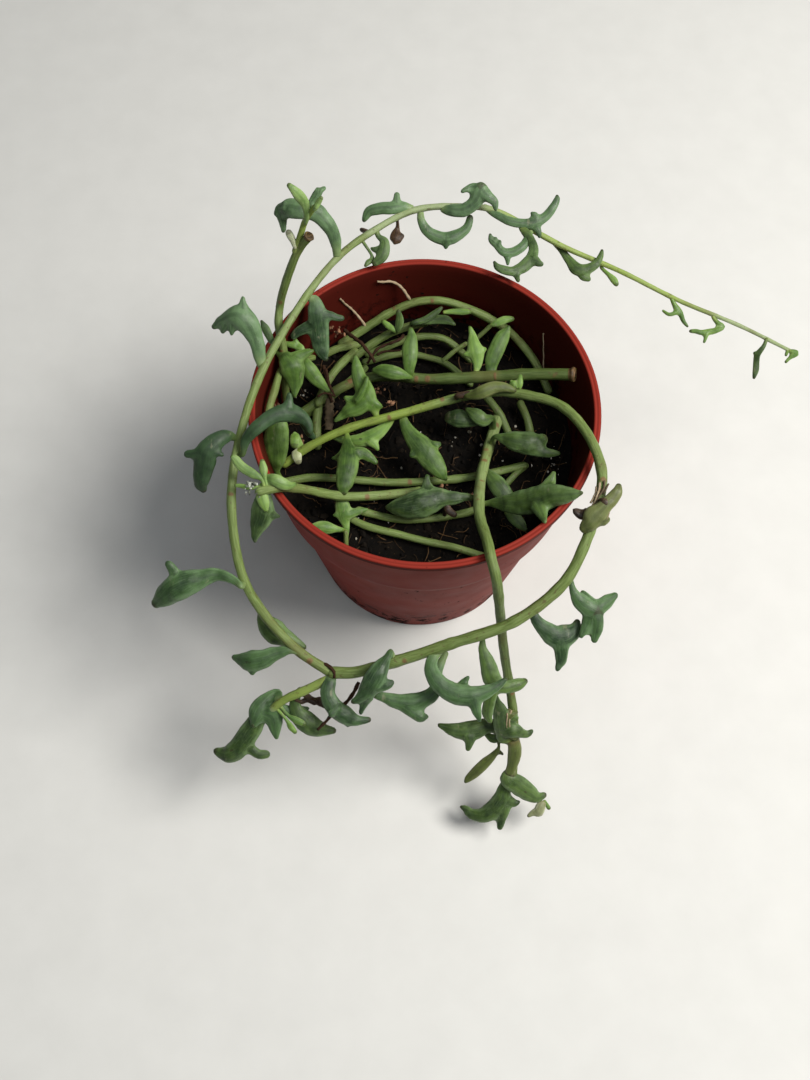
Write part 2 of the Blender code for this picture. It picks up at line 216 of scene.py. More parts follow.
# Fresh yellow-green lengths of stem, as (first share, last share).
FRESH_LENGTHS = {
    "main_stem": (-1.0, 0.24),
    "runner_stem": (0.62, 0.9),
    "side_shoot": (-1.0, 2.0),
    "branch_stem": (-1.0, 0.8),
}
NEVER_FRESH = (2.0, 3.0)
FRESH_EDGE = 0.04

# How pale a stem's skin is, from dark green 0 to whitish 1. A pair holds at the two shares of the length
# and runs evenly between them.
STEM_TONE = 0.4
STEM_TONE_SHARES = (0.25, 0.55)
STEM_TONES = {
    "cut_stem": 0.0, "runner_stem": (0.38, 0.68), "upright_stem": 0.35, "side_shoot": 0.7,
    "front_stem": (0.52, 0.2), "branch_stem": 0.6, "rim_stem": 0.45, "low_stem": 0.3,
    "crown_stem_a": 0.2, "crown_stem_b": 0.2, "crown_stem_c": 0.15, "crown_stem_d": 0.2,
    "crown_stem_e": 0.2, "crossing_stem_a": 0.15, "crossing_stem_b": 0.15, "crossing_stem_c": 0.15,
    "twig_a": 0.3, "twig_b": 0.2,
}

Stem = namedtuple("Stem", "name radius_start radius_end path")
Leaf = namedtuple("Leaf", "name tone limbs")

# Each stem runs through these points, from its rooted or older end to its tip.
STEMS = (
    Stem("main_stem", 1.4, 2.0, (
        (-49, -11, 82.4), (-40, -6, 87), (-26, -1, 92), (-8, 3, 96), (11, 8, 99), (23, 9, 102),
        (34, 6, 106), (46, 0, 109.5), (54, -12, 112.5), (58, -25, 113), (57, -36, 112),
        (52, -51, 106.5), (45, -62, 100), (30, -72, 92.5), (10, -77, 84), (-6, -81, 78),
        (-20, -84, 73), (-29, -84, 71))),
    Stem("runner_stem", 1.7, 0.7, (
        (-30.7, -83.4, 71.2), (-42, -77, 76), (-53, -67, 84), (-60, -56, 94), (-63, -36, 106),
        (-61, -14, 111), (-55, 8, 114.5), (-44, 33, 115.5), (-33, 52, 115.5), (-21, 64, 116),
        (-5, 74, 117), (13, 76, 117), (26, 76, 114), (48, 67, 108), (71, 62, 100),
        (94, 57, 90), (119, 54, 79), (142, 50, 68))),
    Stem("branch_stem", 1.6, 1.3, (
        (-31.2, -86.2, 69.5), (-40, -89.5, 65.5), (-47, -92, 61.5), (-53, -96, 55.5))),
    Stem("front_stem", 1.9, 1.5, (
        (27, 10, 82.6), (23, -5, 86), (20, -20, 91), (19, -36, 99), (21, -50, 108.5),
        (22, -57, 110.8), (24, -63, 107), (27, -68, 85), (30, -75, 66), (34, -88, 49),
        (36, -99, 36), (36, -107, 27))),
    Stem("back_stem", 1.5, 1.5, (
        (-31, 40, 81.9), (-22, 45, 85), (-13, 49, 89.5), (-4, 51, 93.5), (5, 51.3, 94.5),
        (14, 49.5, 93.5), (24, 46, 91), (32, 41, 89), (40, 32, 86), (45.5, 22, 82))),
    Stem("cut_stem", 1.7, 2.1, (
        (-45, 9, 82.3), (-35, 15, 86), (-24, 20, 89), (-12, 21, 91), (2, 19, 93),
        (20, 18, 97), (37, 16.5, 102), (50, 14.5, 106))),
    Stem("upright_stem", 1.4, 1.4, (
        (-49.5, 12.5, 82), (-49.7, 15.5, 92), (-49.7, 19, 100), (-49.7, 22.5, 105.5), (-51, 28, 111.5),
        (-50.5, 33, 116), (-48.5, 35, 124), (-45, 38, 134), (-42.5, 40, 139), (-39.5, 40.5, 144))),
    Stem("side_shoot", 1.1, 0.8, (
        (-44, 39.5, 138), (-42, 42, 143.5), (-40.5, 43.5, 148), (-38.5, 43.5, 152.5), (-36.5, 43.5, 156))),
    Stem("low_stem", 1.4, 1.4, (
        (-49, -18, 82), (-40, -16, 82), (-30, -16, 82), (-11, -17, 82), (3, -16, 82),
        (12, -15, 82), (22, -13, 82), (36, -9, 82))),
    Stem("rim_stem", 1.6, 1.5, (
        (-1, -21, 84), (-15, -24, 86), (-28, -27, 91), (-40, -30, 102), (-46.5, -33.5, 110.3),
        (-53, -36, 112.3))),
    Stem("root_loop", 1.3, 1.3, (
        (-22, -28.5, 83), (-17, -29.5, 82), (-9, -31, 81.7), (-2, -31, 81.7), (6, -30, 81.7),
        (15, -28, 81.7), (20, -26, 81.7))),
    Stem("front_root", 1.3, 1.3, (
        (-27, -30, 82), (-19, -34, 81.7), (-7, -37, 81.7), (1, -39, 81.7), (11, -41, 81.7),
        (21, -44, 81.7))),
)

# Thin stems and stubs on the soil, shown here only.
SMALL_STEMS = (
    Stem("crown_stem_a", 1.5, 1.4, ((-27, 34, 81), (-17, 40.5, 84.5), (-9, 44, 86.5), (0, 46, 88))),
    Stem("crown_stem_b", 1.4, 1.3, (
        (-21, 36, 81), (-9, 40.5, 83.5), (-2, 42, 84.5), (5, 42, 84.5), (10, 40, 83.5), (17, 35, 80.5))),
    Stem("crown_stem_c", 1.3, 1.2, (
        (-22, 33, 80.5), (-9, 36, 82), (2, 34.5, 82), (9, 31.5, 82), (17, 25, 80))),
    Stem("crown_stem_d", 1.5, 1.4, ((-43, 10, 80.5), (-35, 15.5, 83), (-27, 23, 83.5), (-22, 30, 81))),
    Stem("crown_stem_e", 1.5, 1.5, ((-26, 36, 83), (-31, 28, 86), (-35.5, 19, 87.5), (-38, 12, 86))),
    Stem("crown_stub_a", 1.7, 1.6, ((-38, 13, 83), (-38.5, 6, 82), (-38, -2, 80))),
    Stem("crown_stub_b", 1.5, 1.4, ((-37, 35, 82), (-32, 37, 83), (-25, 39, 83))),
    Stem("crossing_stem_a", 1.4, 1.3, ((22, 17, 86), (27, 11, 84), (31, 4, 81))),
    Stem("crossing_stem_b", 1.4, 1.3, ((35, 15, 84), (37.5, 9, 83), (39, 3, 80))),
    Stem("crossing_stem_c", 1.2, 1.1, ((29, -17, 81), (33, -12.5, 82), (37, -8, 80))),
    Stem("twig_a", 0.9, 0.8, ((7, 33, 83), (11, 36, 85), (15, 38.5, 86))),
    Stem("twig_b", 0.8, 0.8, ((18, 40, 86), (22, 43, 88), (25, 45.5, 90))),
    Stem("sprout", 0.9, 0.8, ((-26, -42, 79), (-26, -40, 81.5), (-26, -37.5, 84))),
    Stem("wall_stem", 1.3, 1.2, (
        (-52, -11, 84), (-53.5, -8, 93), (-54, -4, 98), (-53.5, 1, 101), (-52, 8, 101.5), (-50.5, 17, 100),
        (-47, 24, 95), (-41, 31, 86))),
)

# Roots, dead twigs and dried threads: the dry material of each, then the same form as a stem.
THREADS = (
    ("aerial_root", Stem("aerial_root_a", 0.55, 0.4, (
        (-6, 51.5, 94.5), (-8.5, 53.3, 98), (-12, 54.2, 101), (-18, 52.5, 103.5)))),
    ("aerial_root", Stem("aerial_root_b", 0.5, 0.35, (
        (-22, 45, 86), (-26, 47.5, 91), (-29, 47.5, 96), (-31, 46.5, 101)))),
    ("aerial_root", Stem("aerial_root_c", 0.3, 0.2, ((43.5, 25, 82), (43, 30, 90), (42, 35.5, 99)))),
    ("dead_bark", Stem("dead_twig_a", 0.75, 0.6, (
        (-30, 43, 86), (-26, 38, 89), (-22, 33, 91), (-18, 28, 89)))),
    ("dead_bark", Stem("dead_twig_b", 0.6, 0.5, (
        (-8, 41, 87), (-9, 38, 89), (-12, 36, 89.5), (-15, 35.5, 88), (-18, 33, 88.5), (-21, 29, 86)))),
    ("dead_bark", Stem("dead_twig_c", 0.7, 0.6, (
        (-37, 27, 87), (-35.5, 21, 89.5), (-34.5, 16, 90), (-33, 12, 87)))),
    ("dead_husk", Stem("dead_stump", 1.7, 1.5, ((-34, 17, 86), (-34, 10, 85), (-34, 3, 82.5)))),
    ("dead_husk", Stem("peel_a", 0.4, 0.25, (
        (58.5, -30.5, 115), (58, -33.5, 115), (56.5, -36, 114.5), (55, -38.5, 113.5)))),
    ("aerial_root", Stem("peel_b", 0.4, 0.3, (
        (57, -31, 114.5), (56.5, -34, 114.5), (55.5, -37, 114), (54, -39, 112.5)))),
    ("dead_husk", Stem("peel_c", 0.35, 0.25, ((60, -31, 114), (59, -33, 114.5), (58, -35, 114.5)))),
    ("aerial_root", Stem("peel_d", 0.4, 0.35, ((56, -32, 113.5), (55.5, -35, 113.5), (54, -37.5, 112.5)))),
    ("aerial_root", Stem("peel_e", 0.28, 0.2, ((57.5, -40.5, 116), (58.5, -42.5, 115), (58, -44.5, 113)))),
    ("aerial_root", Stem("peel_f", 0.28, 0.2, ((59, -40.5, 116), (59.5, -42, 115), (59, -43.5, 113.5)))),
    ("aerial_root", Stem("peel_g", 0.3, 0.2, ((32, -91, 50.5), (32, -93.5, 47.5), (33, -96, 44)))),
    ("aerial_root", Stem("peel_h", 0.32, 0.22, ((33.5, -90, 50.5), (33, -93, 48), (34, -96, 44)))),
    ("aerial_root", Stem("peel_i", 0.28, 0.2, ((35, -90.5, 49), (34.5, -93, 47), (36.5, -97, 41.5)))),
    ("dead_bark", Stem("dead_twig_d", 0.4, 0.3, (
        (-38, 11.5, 92), (-36, 12, 93), (-33.5, 11.5, 93.5), (-31.5, 11, 93)))),
    ("dead_bark", Stem("dead_twig_e", 0.5, 0.35, (
        (-17.5, 29.5, 91), (-15, 30.5, 92), (-12, 31, 92), (-9, 32, 91)))),
    ("dead_bark", Stem("dead_twig_f", 0.6, 0.4, (
        (-35.5, 22, 93), (-34.5, 18, 94), (-33.5, 14.5, 94), (-32, 11.5, 93)))),
    ("dead_bark", Stem("node_bark", 0.7, 0.45, (
        (-32, -81.5, 72.8), (-30, -82.5, 73.3), (-28.5, -84.5, 73), (-28.5, -86, 71.8)))),
    ("dead_bark", Stem("hanging_root", 0.7, 0.5, (
        (-20, -87, 71), (-23, -92, 68), (-28, -96, 65), (-34, -101, 60)))),
)

# Each leaf is made of limbs: first its body, from foot to nose, and then its fins and lobes.
# A limb runs through points (x, y, z, half width). Names that start with leaf_ are the part's.
LEAVES = (
    Leaf("leaf_back_arch", "blue", (
        ((-32, 53.5, 116, 1.2), (-32, 55.5, 119, 1.7), (-33, 58, 123, 2.2), (-35.5, 60, 127, 2.6),
         (-39.5, 62, 130, 3.1), (-44.5, 62, 131, 3.2), (-48, 63, 130, 3.3), (-50.5, 62.5, 127, 2.1),
         (-50.5, 61, 124, 1.3), (-50.5, 59.5, 122, 0.7)),
        ((-49, 63, 131, 2.1), (-51.5, 64, 129, 1.4), (-53, 63, 127, 0.8)),)),
    Leaf("leaf_shoot", "young", (
        ((-40, 42, 149, 0.6), (-39.5, 43, 153, 0.9), (-40, 44.5, 156, 1.4), (-41.5, 45, 159, 1.7),
         (-43, 45.5, 161, 1.3), (-44.5, 46.5, 162, 0.8)),)),
    Leaf("shoot_bud", "young", (
        ((-36.5, 41.5, 157, 0.6), (-35.5, 43, 158.5, 0.9), (-34.5, 43.5, 160, 0.6)),)),
    Leaf("shoot_tail", "blue", (
        ((-38, 45.5, 155, 1), (-36.5, 47, 156.5, 1.4), (-36, 48, 158, 0.9), (-36, 48.5, 158, 0.6)),
        ((-36, 47, 156.5, 1), (-35, 48, 158, 0.8), (-34, 49, 158, 0.6)),)),
    Leaf("shoot_bract", "pale", (
        ((-44, 39.5, 140, 0.6), (-44.5, 41, 141, 0.9), (-45.5, 42.5, 142, 1.1), (-46, 43, 143, 1)),)),
    Leaf("leaf_left_high", "blue", (
        ((-55, 9, 114, 1.3), (-56, 12, 116, 2), (-57, 16, 119, 2.5), (-59, 19.5, 122, 3.3),
         (-62, 22.5, 124, 4), (-64.5, 23, 124, 3.3), (-67.5, 23, 122, 2.2), (-70, 23, 120, 1.7),
         (-72, 22.5, 118, 1)),
        ((-61.5, 24.5, 125, 2.3), (-61.5, 26, 127, 1.3), (-61.5, 27.5, 128, 0.7)),
        ((-64, 22.5, 124, 2.3), (-65, 20.5, 122, 1.5), (-65.5, 18.5, 120, 0.7)),
        ((-66.5, 23, 122, 2), (-68, 21, 120, 1.3), (-69, 20.5, 118, 0.7)),)),
    Leaf("left_bract", "green", (
        ((-52.5, 20, 113, 0.9), (-55, 24.5, 114, 1.4), (-56.5, 27, 115, 0.5)),)),
    Leaf("leaf_left_inner", "blue", (
        ((-40.5, 37.5, 114, 1.2), (-39, 37, 113, 2.2), (-38, 33.5, 110, 3.2), (-37.5, 30, 106, 3.3),
         (-37, 26.5, 103, 3), (-36, 23.5, 101, 2.1), (-35, 22, 100, 1)),
        ((-37, 33, 110, 2.1), (-34, 33.5, 110, 1.6), (-31.5, 33, 109.5, 1.3), (-29.5, 33, 109, 1)),
        ((-39.5, 31, 107, 2.4), (-42.5, 30.5, 106, 2), (-45, 29.5, 105, 1.6), (-46.5, 28.5, 104, 1.3)),)),
    Leaf("leaf_left_stem", "fresh", (
        ((-50, 22, 103.5, 1.2), (-48.5, 19, 104, 3), (-46.5, 16.5, 103, 4.2), (-45.5, 13.5, 100, 3.1),
         (-45.5, 10.5, 98, 1.6), (-45.5, 8.5, 96.5, 0.6)),
        ((-46, 19, 104, 2.4), (-42.5, 21, 104.5, 1.7), (-39.5, 22, 105, 0.8)),
        ((-48.5, 19.5, 104, 2.3), (-51, 21.5, 104, 1.6), (-52.5, 22.5, 104, 0.9)),)),
    Leaf("left_stem_fork", "young", (
        ((-44, 25, 100, 1.4), (-45.5, 27, 101, 1.2), (-46, 28.5, 102, 0.5)),
        ((-46, 26.5, 101, 1.1), (-48.5, 27, 101, 0.9), (-50.5, 28, 101, 0.5)),)),
    Leaf("small_left_stem", "fresh", (
        ((-43.5, 21.5, 100, 1.4), (-41, 18.5, 99, 2.5), (-39, 16.5, 97, 2.5), (-36.5, 14.5, 95, 1.8),
         (-34, 13, 93, 0.7)),)),
    # Darker blue tone: painted shade, as this leaf lies in shade.
    Leaf("leaf_over_rim", "deep", (
        ((-59.5, -22.5, 112, 0.8), (-58.5, -19, 115, 1.6), (-55, -16, 118, 2.1),
         (-50.5, -12.5, 119, 2.4), (-46, -10.5, 119, 2.9), (-42.5, -10, 117, 2.8),
         (-39.5, -11, 115, 1.8), (-38, -13, 113.5, 1.2), (-38, -14.5, 112.5, 0.6)),
        ((-45, -9.5, 120, 2), (-44.5, -7, 121, 1.3), (-44.5, -5.5, 122, 0.8)),
        ((-40.5, -10, 113, 1.5), (-38.5, -13, 111, 1.3), (-37, -14, 109, 0.8)),)),
    Leaf("leaf_left_oval", "fresh", (
        ((-51, -16, 87, 1), (-51, -14, 91, 3.1), (-51, -11, 95, 4.1), (-50.5, -7, 99, 4),
         (-50, -3.5, 102, 2.7), (-49.5, -1, 104, 1)),)),
    # Darker blue tone: painted shade, as this leaf lies in shade.
    Leaf("leaf_left_mid", "deep", (
        ((-63, -16.5, 112, 1.2), (-64.5, -17, 114, 2), (-67.5, -19, 115, 2.8), (-71, -22.5, 114, 3.4),
         (-72, -25, 111, 3.6), (-73, -28, 108, 3), (-73.5, -30.5, 105, 2.3), (-73, -31.5, 103, 1.3)),
        ((-72.5, -23.5, 114, 2), (-75.5, -23.5, 113.5, 1.5), (-77.5, -23.5, 113, 1.3)),
        ((-69.5, -23.5, 114, 1.6), (-67.5, -23.5, 114, 1.1), (-66, -24, 114, 0.7)),)),
    Leaf("leaf_rim_tip", "green", (
        ((-51.5, -34, 111, 1.1), (-52, -37.5, 109, 2.9), (-52.5, -41, 106, 3.8),
         (-54, -44.5, 103, 2.6), (-55, -47.5, 101, 1.3), (-55, -48.5, 100, 0.6)),
        ((-52, -40.5, 107, 2.1), (-49, -41.5, 106, 1.5), (-47, -41.5, 105, 0.6)),)),
    Leaf("rim_tip_a", "young", (
        ((-52.5, -32.5, 114, 0.6), (-55.5, -31, 115, 1.4), (-59, -29, 116, 1.5), (-61, -27, 117, 1.3),
         (-62, -26.5, 117.5, 0.7)),)),
    Leaf("rim_tip_b", "young", (
        ((-51.5, -32, 114, 0.6), (-52, -29.5, 115, 1.3), (-52.5, -27, 116, 0.7)),)),
    Leaf("rim_tip_c", "young", (
        ((-51.5, -31.5, 113, 0.8), (-48.5, -32.5, 114, 1.9), (-45.5, -33.5, 113, 1.9),
         (-43.5, -33.5, 112, 1.3), (-42, -32.5, 111, 0.7)),)),
    Leaf("rim_tip_d", "young", (
        ((-52.5, -33, 112, 0.7), (-52.5, -36.5, 111, 1.8), (-51.5, -39.5, 110, 1.6),
         (-51, -41, 109, 0.8)),)),
    Leaf("rim_tip_e", "young", (
        ((-53.5, -34.5, 112, 0.6), (-57, -34.5, 112, 0.8), (-59.5, -34, 112, 0.6), (-61, -34, 112, 0.5)),)),
    Leaf("leaf_left_low", "blue", (
        ((-59, -62.5, 94, 0.8), (-61, -60.5, 94, 1.3), (-64, -59, 94, 1.7), (-68, -58, 93.5, 2.2),
         (-72, -59, 93, 3), (-76.5, -60.5, 92.5, 4), (-81, -62, 91, 4.5), (-85.5, -64, 87.5, 3.5),
         (-88.5, -65.5, 85, 1.8)),
        ((-81, -58.5, 93, 1.7), (-82.5, -56.5, 95, 1.5), (-83.5, -55.5, 96, 1.2)),)),
    Leaf("leaf_loop_left", "blue", (
        ((-40, -78.5, 76, 1), (-44, -78, 76, 1.4), (-48.5, -79, 75, 2.4), (-52.5, -80.5, 74, 3.2),
         (-57, -81, 72.5, 3.6), (-60.5, -80, 71, 2.2), (-63, -79, 70, 1)),
        ((-56, -82, 72, 2.2), (-56.5, -84.5, 70.5, 1)),)),
    Leaf("leaf_loop_under", "green", (
        ((-54.5, -65.5, 77, 1), (-52, -68.5, 75, 3.4), (-49.5, -70.5, 73, 4.1), (-46, -72, 71, 3.1),
         (-42, -73.5, 70, 1.9), (-39.5, -74.5, 69, 0.9)),)),
    Leaf("leaf_branch_tip", "green", (
        ((-52.5, -92, 57, 1.7), (-56, -97.5, 54, 3.1), (-59, -101.5, 51, 3.5),
         (-62.5, -105.5, 48, 3.5), (-65.5, -107, 46, 3.2), (-68.5, -106.5, 45, 2.1),
         (-70, -106, 45, 1.4)),
        ((-59, -104.5, 49, 1.9), (-55.5, -107, 47.5, 1.6), (-52.5, -107, 47, 1.5)),)),
    Leaf("leaf_branch_low", "blue", (
        ((-48.5, -88, 58, 1.6), (-51.5, -90, 58, 2.4), (-54, -93, 57.5, 3.5), (-55.5, -96, 56.5, 3.1),
         (-56.5, -98.5, 55.5, 1.4)),
        ((-54, -94, 57, 3), (-50, -96, 56.5, 3.3), (-49, -99.5, 55, 2.2), (-48.5, -102.5, 53.5, 0.9)),
        ((-51.5, -94, 58, 2.9), (-46.5, -94, 58, 2.2), (-42, -93.5, 58, 1.1), (-38, -93, 57.5, 0.7)),)),
    Leaf("leaf_branch_side", "green", (
        ((-40.5, -87.5, 62, 1), (-42, -90.5, 61, 1.6), (-42, -93.5, 59, 2.2), (-39.5, -96.5, 57, 3.5),
         (-35.5, -99, 55.5, 3.3), (-32, -99.5, 54, 2.1), (-29, -99.5, 53, 1.2)),)),
    Leaf("branch_young_a", "young", (
        ((-44.5, -96, 59, 0.5), (-41.5, -97.5, 58.5, 1.2), (-39, -98.5, 58, 1)),)),
    Leaf("branch_young_b", "young", (
        ((-45, -97.5, 59, 0.5), (-43.5, -99.5, 57, 1), (-42, -101, 56, 0.7)),)),
    Leaf("leaf_loop_end", "blue", (
        ((-29.5, -83, 70, 1.4), (-30, -87, 70, 2.2), (-30.5, -91, 69, 2.5), (-28.5, -94.5, 67, 2.9),
         (-24.5, -97, 65, 3.1), (-20.5, -98.5, 64, 1.9), (-16.5, -98, 63.5, 1)),
        ((-27, -95, 68, 1.5), (-29, -97.5, 68, 1.2)),
        ((-24, -97.5, 65, 1.5), (-23.5, -100, 63, 0.7)),)),
    Leaf("leaf_loop_silver", "blue", (
        ((-9.5, -78.5, 80, 0.8), (-10.5, -81, 81, 1.3), (-13, -85.5, 81, 3), (-15, -89, 79, 3.5),
         (-17.5, -92, 76, 2.8), (-19.5, -93.5, 74.5, 1.7), (-21.5, -94.5, 73.5, 1)),
        ((-13.5, -91, 78, 1.7), (-10.5, -90, 78, 1.5), (-9, -89, 78, 1.2)),
        ((-16.5, -93, 75, 2), (-18, -95, 72, 1.3), (-19, -97.5, 70, 0.7)),)),
    Leaf("leaf_loop_low", "blue", (
        ((9.5, -76, 73, 0.9), (6.5, -83, 72, 1.7), (6, -89, 71, 2.2), (2.5, -92, 70, 2.7),
         (-2.5, -93.5, 69.5, 3.2), (-7.5, -93, 70, 2.4), (-11.5, -92, 70.5, 1.7), (-14.5, -91.5, 71, 1)),
        ((-4, -94.5, 69.5, 2.4), (-1, -96.5, 68.5, 2), (1.5, -98, 68, 1.7), (3, -97.5, 67.5, 0.8)),)),
    Leaf("leaf_loop_whale", "blue", (
        ((7.5, -78, 81, 1.2), (5, -80.5, 81, 1.7), (4, -84, 81, 2.1), (5.5, -88, 80.5, 2.7),
         (9, -91, 79.5, 3.1), (13.5, -93, 79, 3.3), (18, -93, 79, 3), (23, -91.5, 79.5, 2.2),
         (26.5, -89.5, 80, 1.4), (29, -87.5, 80.5, 0.7)),
        ((18.5, -94, 79, 2.3), (19.5, -98, 77.5, 1.6), (20.5, -100.5, 76, 0.7)),
        ((14, -90, 78, 1.7), (15.5, -88, 79, 1.2), (16.5, -87, 79.5, 0.7)),)),
    Leaf("leaf_loop_deep", "green", (
        ((21, -73, 81, 0.7), (21.5, -77, 79, 1.5), (23.5, -81.5, 76, 2.7), (25, -85.5, 73.5, 3),
         (28.5, -87.5, 71, 2.2), (32.5, -86.5, 69.5, 2.2), (35, -85.5, 69, 1.9),
         (36.5, -84.5, 68.5, 1.2)),
        ((25.5, -87, 72, 2), (24.5, -91.5, 68, 2), (24, -95, 64, 1.9), (25, -97, 62, 0.9)),)),
    Leaf("leaf_front_up", "green", (
        ((31.5, -97.5, 39, 1.8), (31, -95.5, 42, 2.5), (30.5, -93.5, 45, 2.9), (29.5, -90, 50, 2.5),
         (28, -87.5, 53.5, 1.3), (27.5, -85.5, 56.5, 0.5)),
        ((31, -96, 41.5, 2), (34.5, -95.5, 44, 2.7), (38, -96, 42, 1.7), (40, -96, 41, 1.3),
         (41.5, -95, 41.5, 0.8)),
        ((31, -92.5, 46.5, 1.8), (32.5, -91, 48.5, 1.8), (35, -92, 47.5, 1.4)),)),
    Leaf("small_front_node", "dry", (
        ((32, -90.5, 49.5, 0.7), (32.5, -92.5, 47.5, 0.9), (32.5, -94.5, 45, 1.1),
         (34, -96.5, 42, 1.3), (36, -97.5, 40.5, 0.9)),
        ((32.5, -92.5, 47.5, 0.7), (34, -91, 49, 0.9), (35.5, -90, 48, 0.6)),)),
    Leaf("front_sheath", "dry", (
        ((35, -97.5, 38.5, 2.2), (36, -100, 35.5, 2.4), (36, -102.5, 32.5, 2.3), (35.5, -105, 30, 1.9),
         (35, -107.5, 27.5, 2)),
        ((36.5, -99, 37, 1), (37.5, -101, 34.5, 0.7), (37, -103, 32, 0.5)),)),
    Leaf("leaf_front_dark", "green", (
        ((33.5, -93, 39, 1.1), (29.5, -93, 38, 2.2), (26, -92.5, 38, 2.7), (21.5, -94, 37.5, 3.4),
         (17, -94.5, 37, 3.1), (13, -94, 37, 2.2), (10, -93, 37, 1.3), (8.5, -92.5, 37, 0.7)),
        ((19.5, -96, 37.5, 2.7), (19.5, -98.5, 36.5, 1.6), (19, -100.5, 35.5, 1.1)),)),
    Leaf("front_dark_side", "green", (
        ((32.5, -95, 34, 1.8), (28.5, -96, 33, 1.6), (26, -94.5, 33, 0.9)),)),
    Leaf("slender_leaf", "dry", (
        ((30.5, -97, 34, 0.5), (30.5, -99, 32, 0.5), (29, -101, 30, 1.1), (26, -103.5, 27, 1.8),
         (22.5, -106.5, 24, 1.8), (20, -108.5, 22, 1.3), (19, -109.5, 21, 0.6)),
        ((30.5, -100, 31, 0.5), (32, -101, 30, 0.4)),)),
    Leaf("leaf_front_low", "green", (
        ((35.5, -106, 27, 1.5), (34.5, -109, 26, 3.1), (38, -110.5, 23, 3.5), (42, -112.5, 20, 3.3),
         (45.5, -114, 18, 2.2), (48.5, -113, 17, 1.1)),
        ((34.5, -108.5, 26, 2), (32.5, -109, 25.5, 1.3)),)),
    Leaf("leaf_front_end", "green", (
        ((35, -107.5, 24, 1.5), (33.5, -111.5, 20, 2.4), (32.5, -115, 17, 3.3), (30, -118, 14, 3.5),
         (26, -120, 12, 2.8), (22, -119.5, 11, 2.1), (19.5, -117.5, 11, 1.3), (18, -117, 11, 0.8)),
        ((33.5, -117.5, 15, 2.6), (33, -121, 12, 1.9), (32.5, -124, 10, 1.1)),
        ((34.5, -115, 17, 2.2), (37.5, -116, 16, 1.5), (39, -115.5, 16, 0.7)),)),
    Leaf("front_bud_b", "pale", (
        ((48.5, -115, 15.5, 0.9), (47.5, -116.5, 15, 1.7), (46.5, -118.5, 14, 1.9),
         (44.5, -119, 13.5, 1.1), (43, -120, 13, 0.6)),
        ((47.5, -116.5, 15, 1.5), (47.5, -118.5, 14, 1.1), (47.5, -119.5, 13.5, 0.6)),)),
    Leaf("front_bud_c", "young", (
        ((48.5, -114.5, 15, 0.6), (50.5, -117, 13.5, 0.7)),)),
    Leaf("leaf_loop_right", "blue", (
        ((38.5, -64.5, 90, 1), (37.5, -66.5, 89.5, 1.3), (38.5, -69, 88, 1.8), (41.5, -71.5, 86, 2.7),
         (45.5, -73.5, 84, 3.7), (49, -73, 84, 3.7), (52, -71, 85, 2.3), (52.5, -69, 86, 1.3)),
        ((47, -74.5, 84, 3), (47.5, -78, 82, 2.3), (47.5, -80.5, 80, 1.8), (46.5, -83, 79, 1)),)),
    Leaf("leaf_loop_corner", "blue", (
        ((49, -58, 97, 0.8), (50, -61.5, 96, 1.3), (52, -64, 94, 2.3), (55, -65.5, 92, 3),
         (57.5, -66.5, 91, 3.1)),
        ((58, -66, 91, 2.5), (59.5, -65, 91, 2.5), (62, -63, 91, 2.2), (64.5, -61, 91, 1.2)),
        ((57.5, -67, 91, 2.3), (58.5, -69.5, 90, 2.1), (58.5, -72, 88, 2), (58, -75, 86, 1.2)),
        ((56.5, -64, 92, 1.7), (54.5, -62, 93, 1.2), (53.5, -61, 93.5, 0.7)),
        ((56, -68, 90, 2), (54.5, -72, 88, 1.5), (53.5, -74, 87, 0.8)),)),
    Leaf("leaf_back_cup", "blue", (
        ((-3, 74, 116, 1.1), (-2.5, 71.5, 114, 1.4), (-0.5, 69, 112, 1.8), (3, 68, 110, 2.2),
         (7, 68, 109, 2.3), (11, 69.5, 109.5, 2), (14, 72, 110.5, 1.5), (15, 75, 112, 1.2)),
        ((6.5, 67.5, 109.5, 2.2), (6.5, 66, 108.5, 1.6), (6.5, 65, 108, 0.7)),)),
    Leaf("leaf_back_top", "blue", (
        ((4.5, 75, 117, 1.1), (8, 73.5, 118, 2.1), (12.5, 73, 119, 2.3), (16, 74.5, 121, 2.3),
         (17.5, 77, 123, 3), (18, 78, 124, 2.5)),
        ((17.5, 78, 124, 2.1), (15, 79, 124, 1.4), (13, 78, 124, 1), (11.5, 77, 124, 0.7)),
        ((18, 78, 124, 2.5), (20.5, 75.5, 123.5, 1.9), (23, 74, 122.5, 1.4), (23.5, 72, 121, 0.7)),)),
    Leaf("leaf_back_wave", "blue", (
        ((20, 78, 115, 0.9), (24, 75, 114.5, 1.3), (29, 72.5, 114, 1.5), (34, 72, 113.5, 1.6),
         (38, 72.5, 113.5, 1.9), (42, 75, 114, 1.6), (44.5, 78, 115, 1.4), (46, 81, 116, 1),
         (46, 82, 116.5, 0.6)),
        ((38.5, 73, 114, 1.6), (38, 74.5, 115, 1.3), (37, 75, 115.5, 0.6)),
        ((38, 72, 113, 1.6), (39.5, 70, 112, 1.1), (40, 68.5, 111, 0.6)),)),
    Leaf("leaf_back_hook", "green", (
        ((33.5, 71, 112.5, 1.1), (35.5, 68, 112.5, 1.5), (37.5, 63, 112.5, 1.6),
         (37, 58.5, 112.5, 1.9), (34.5, 55, 112, 2.1), (30.5, 52.5, 112, 1.6), (27, 52.5, 112.5, 1.5),
         (24.5, 53.5, 113, 1.1), (23.5, 55, 113.5, 0.5)),
        ((37, 57.5, 113, 1.8), (39, 55.5, 113, 1.3), (40, 55, 113, 0.9)),
        ((32, 53, 112, 1.4), (31.5, 51, 111.5, 1.1), (32, 49, 111.5, 0.7)),)),
    Leaf("small_back_pair", "blue", (
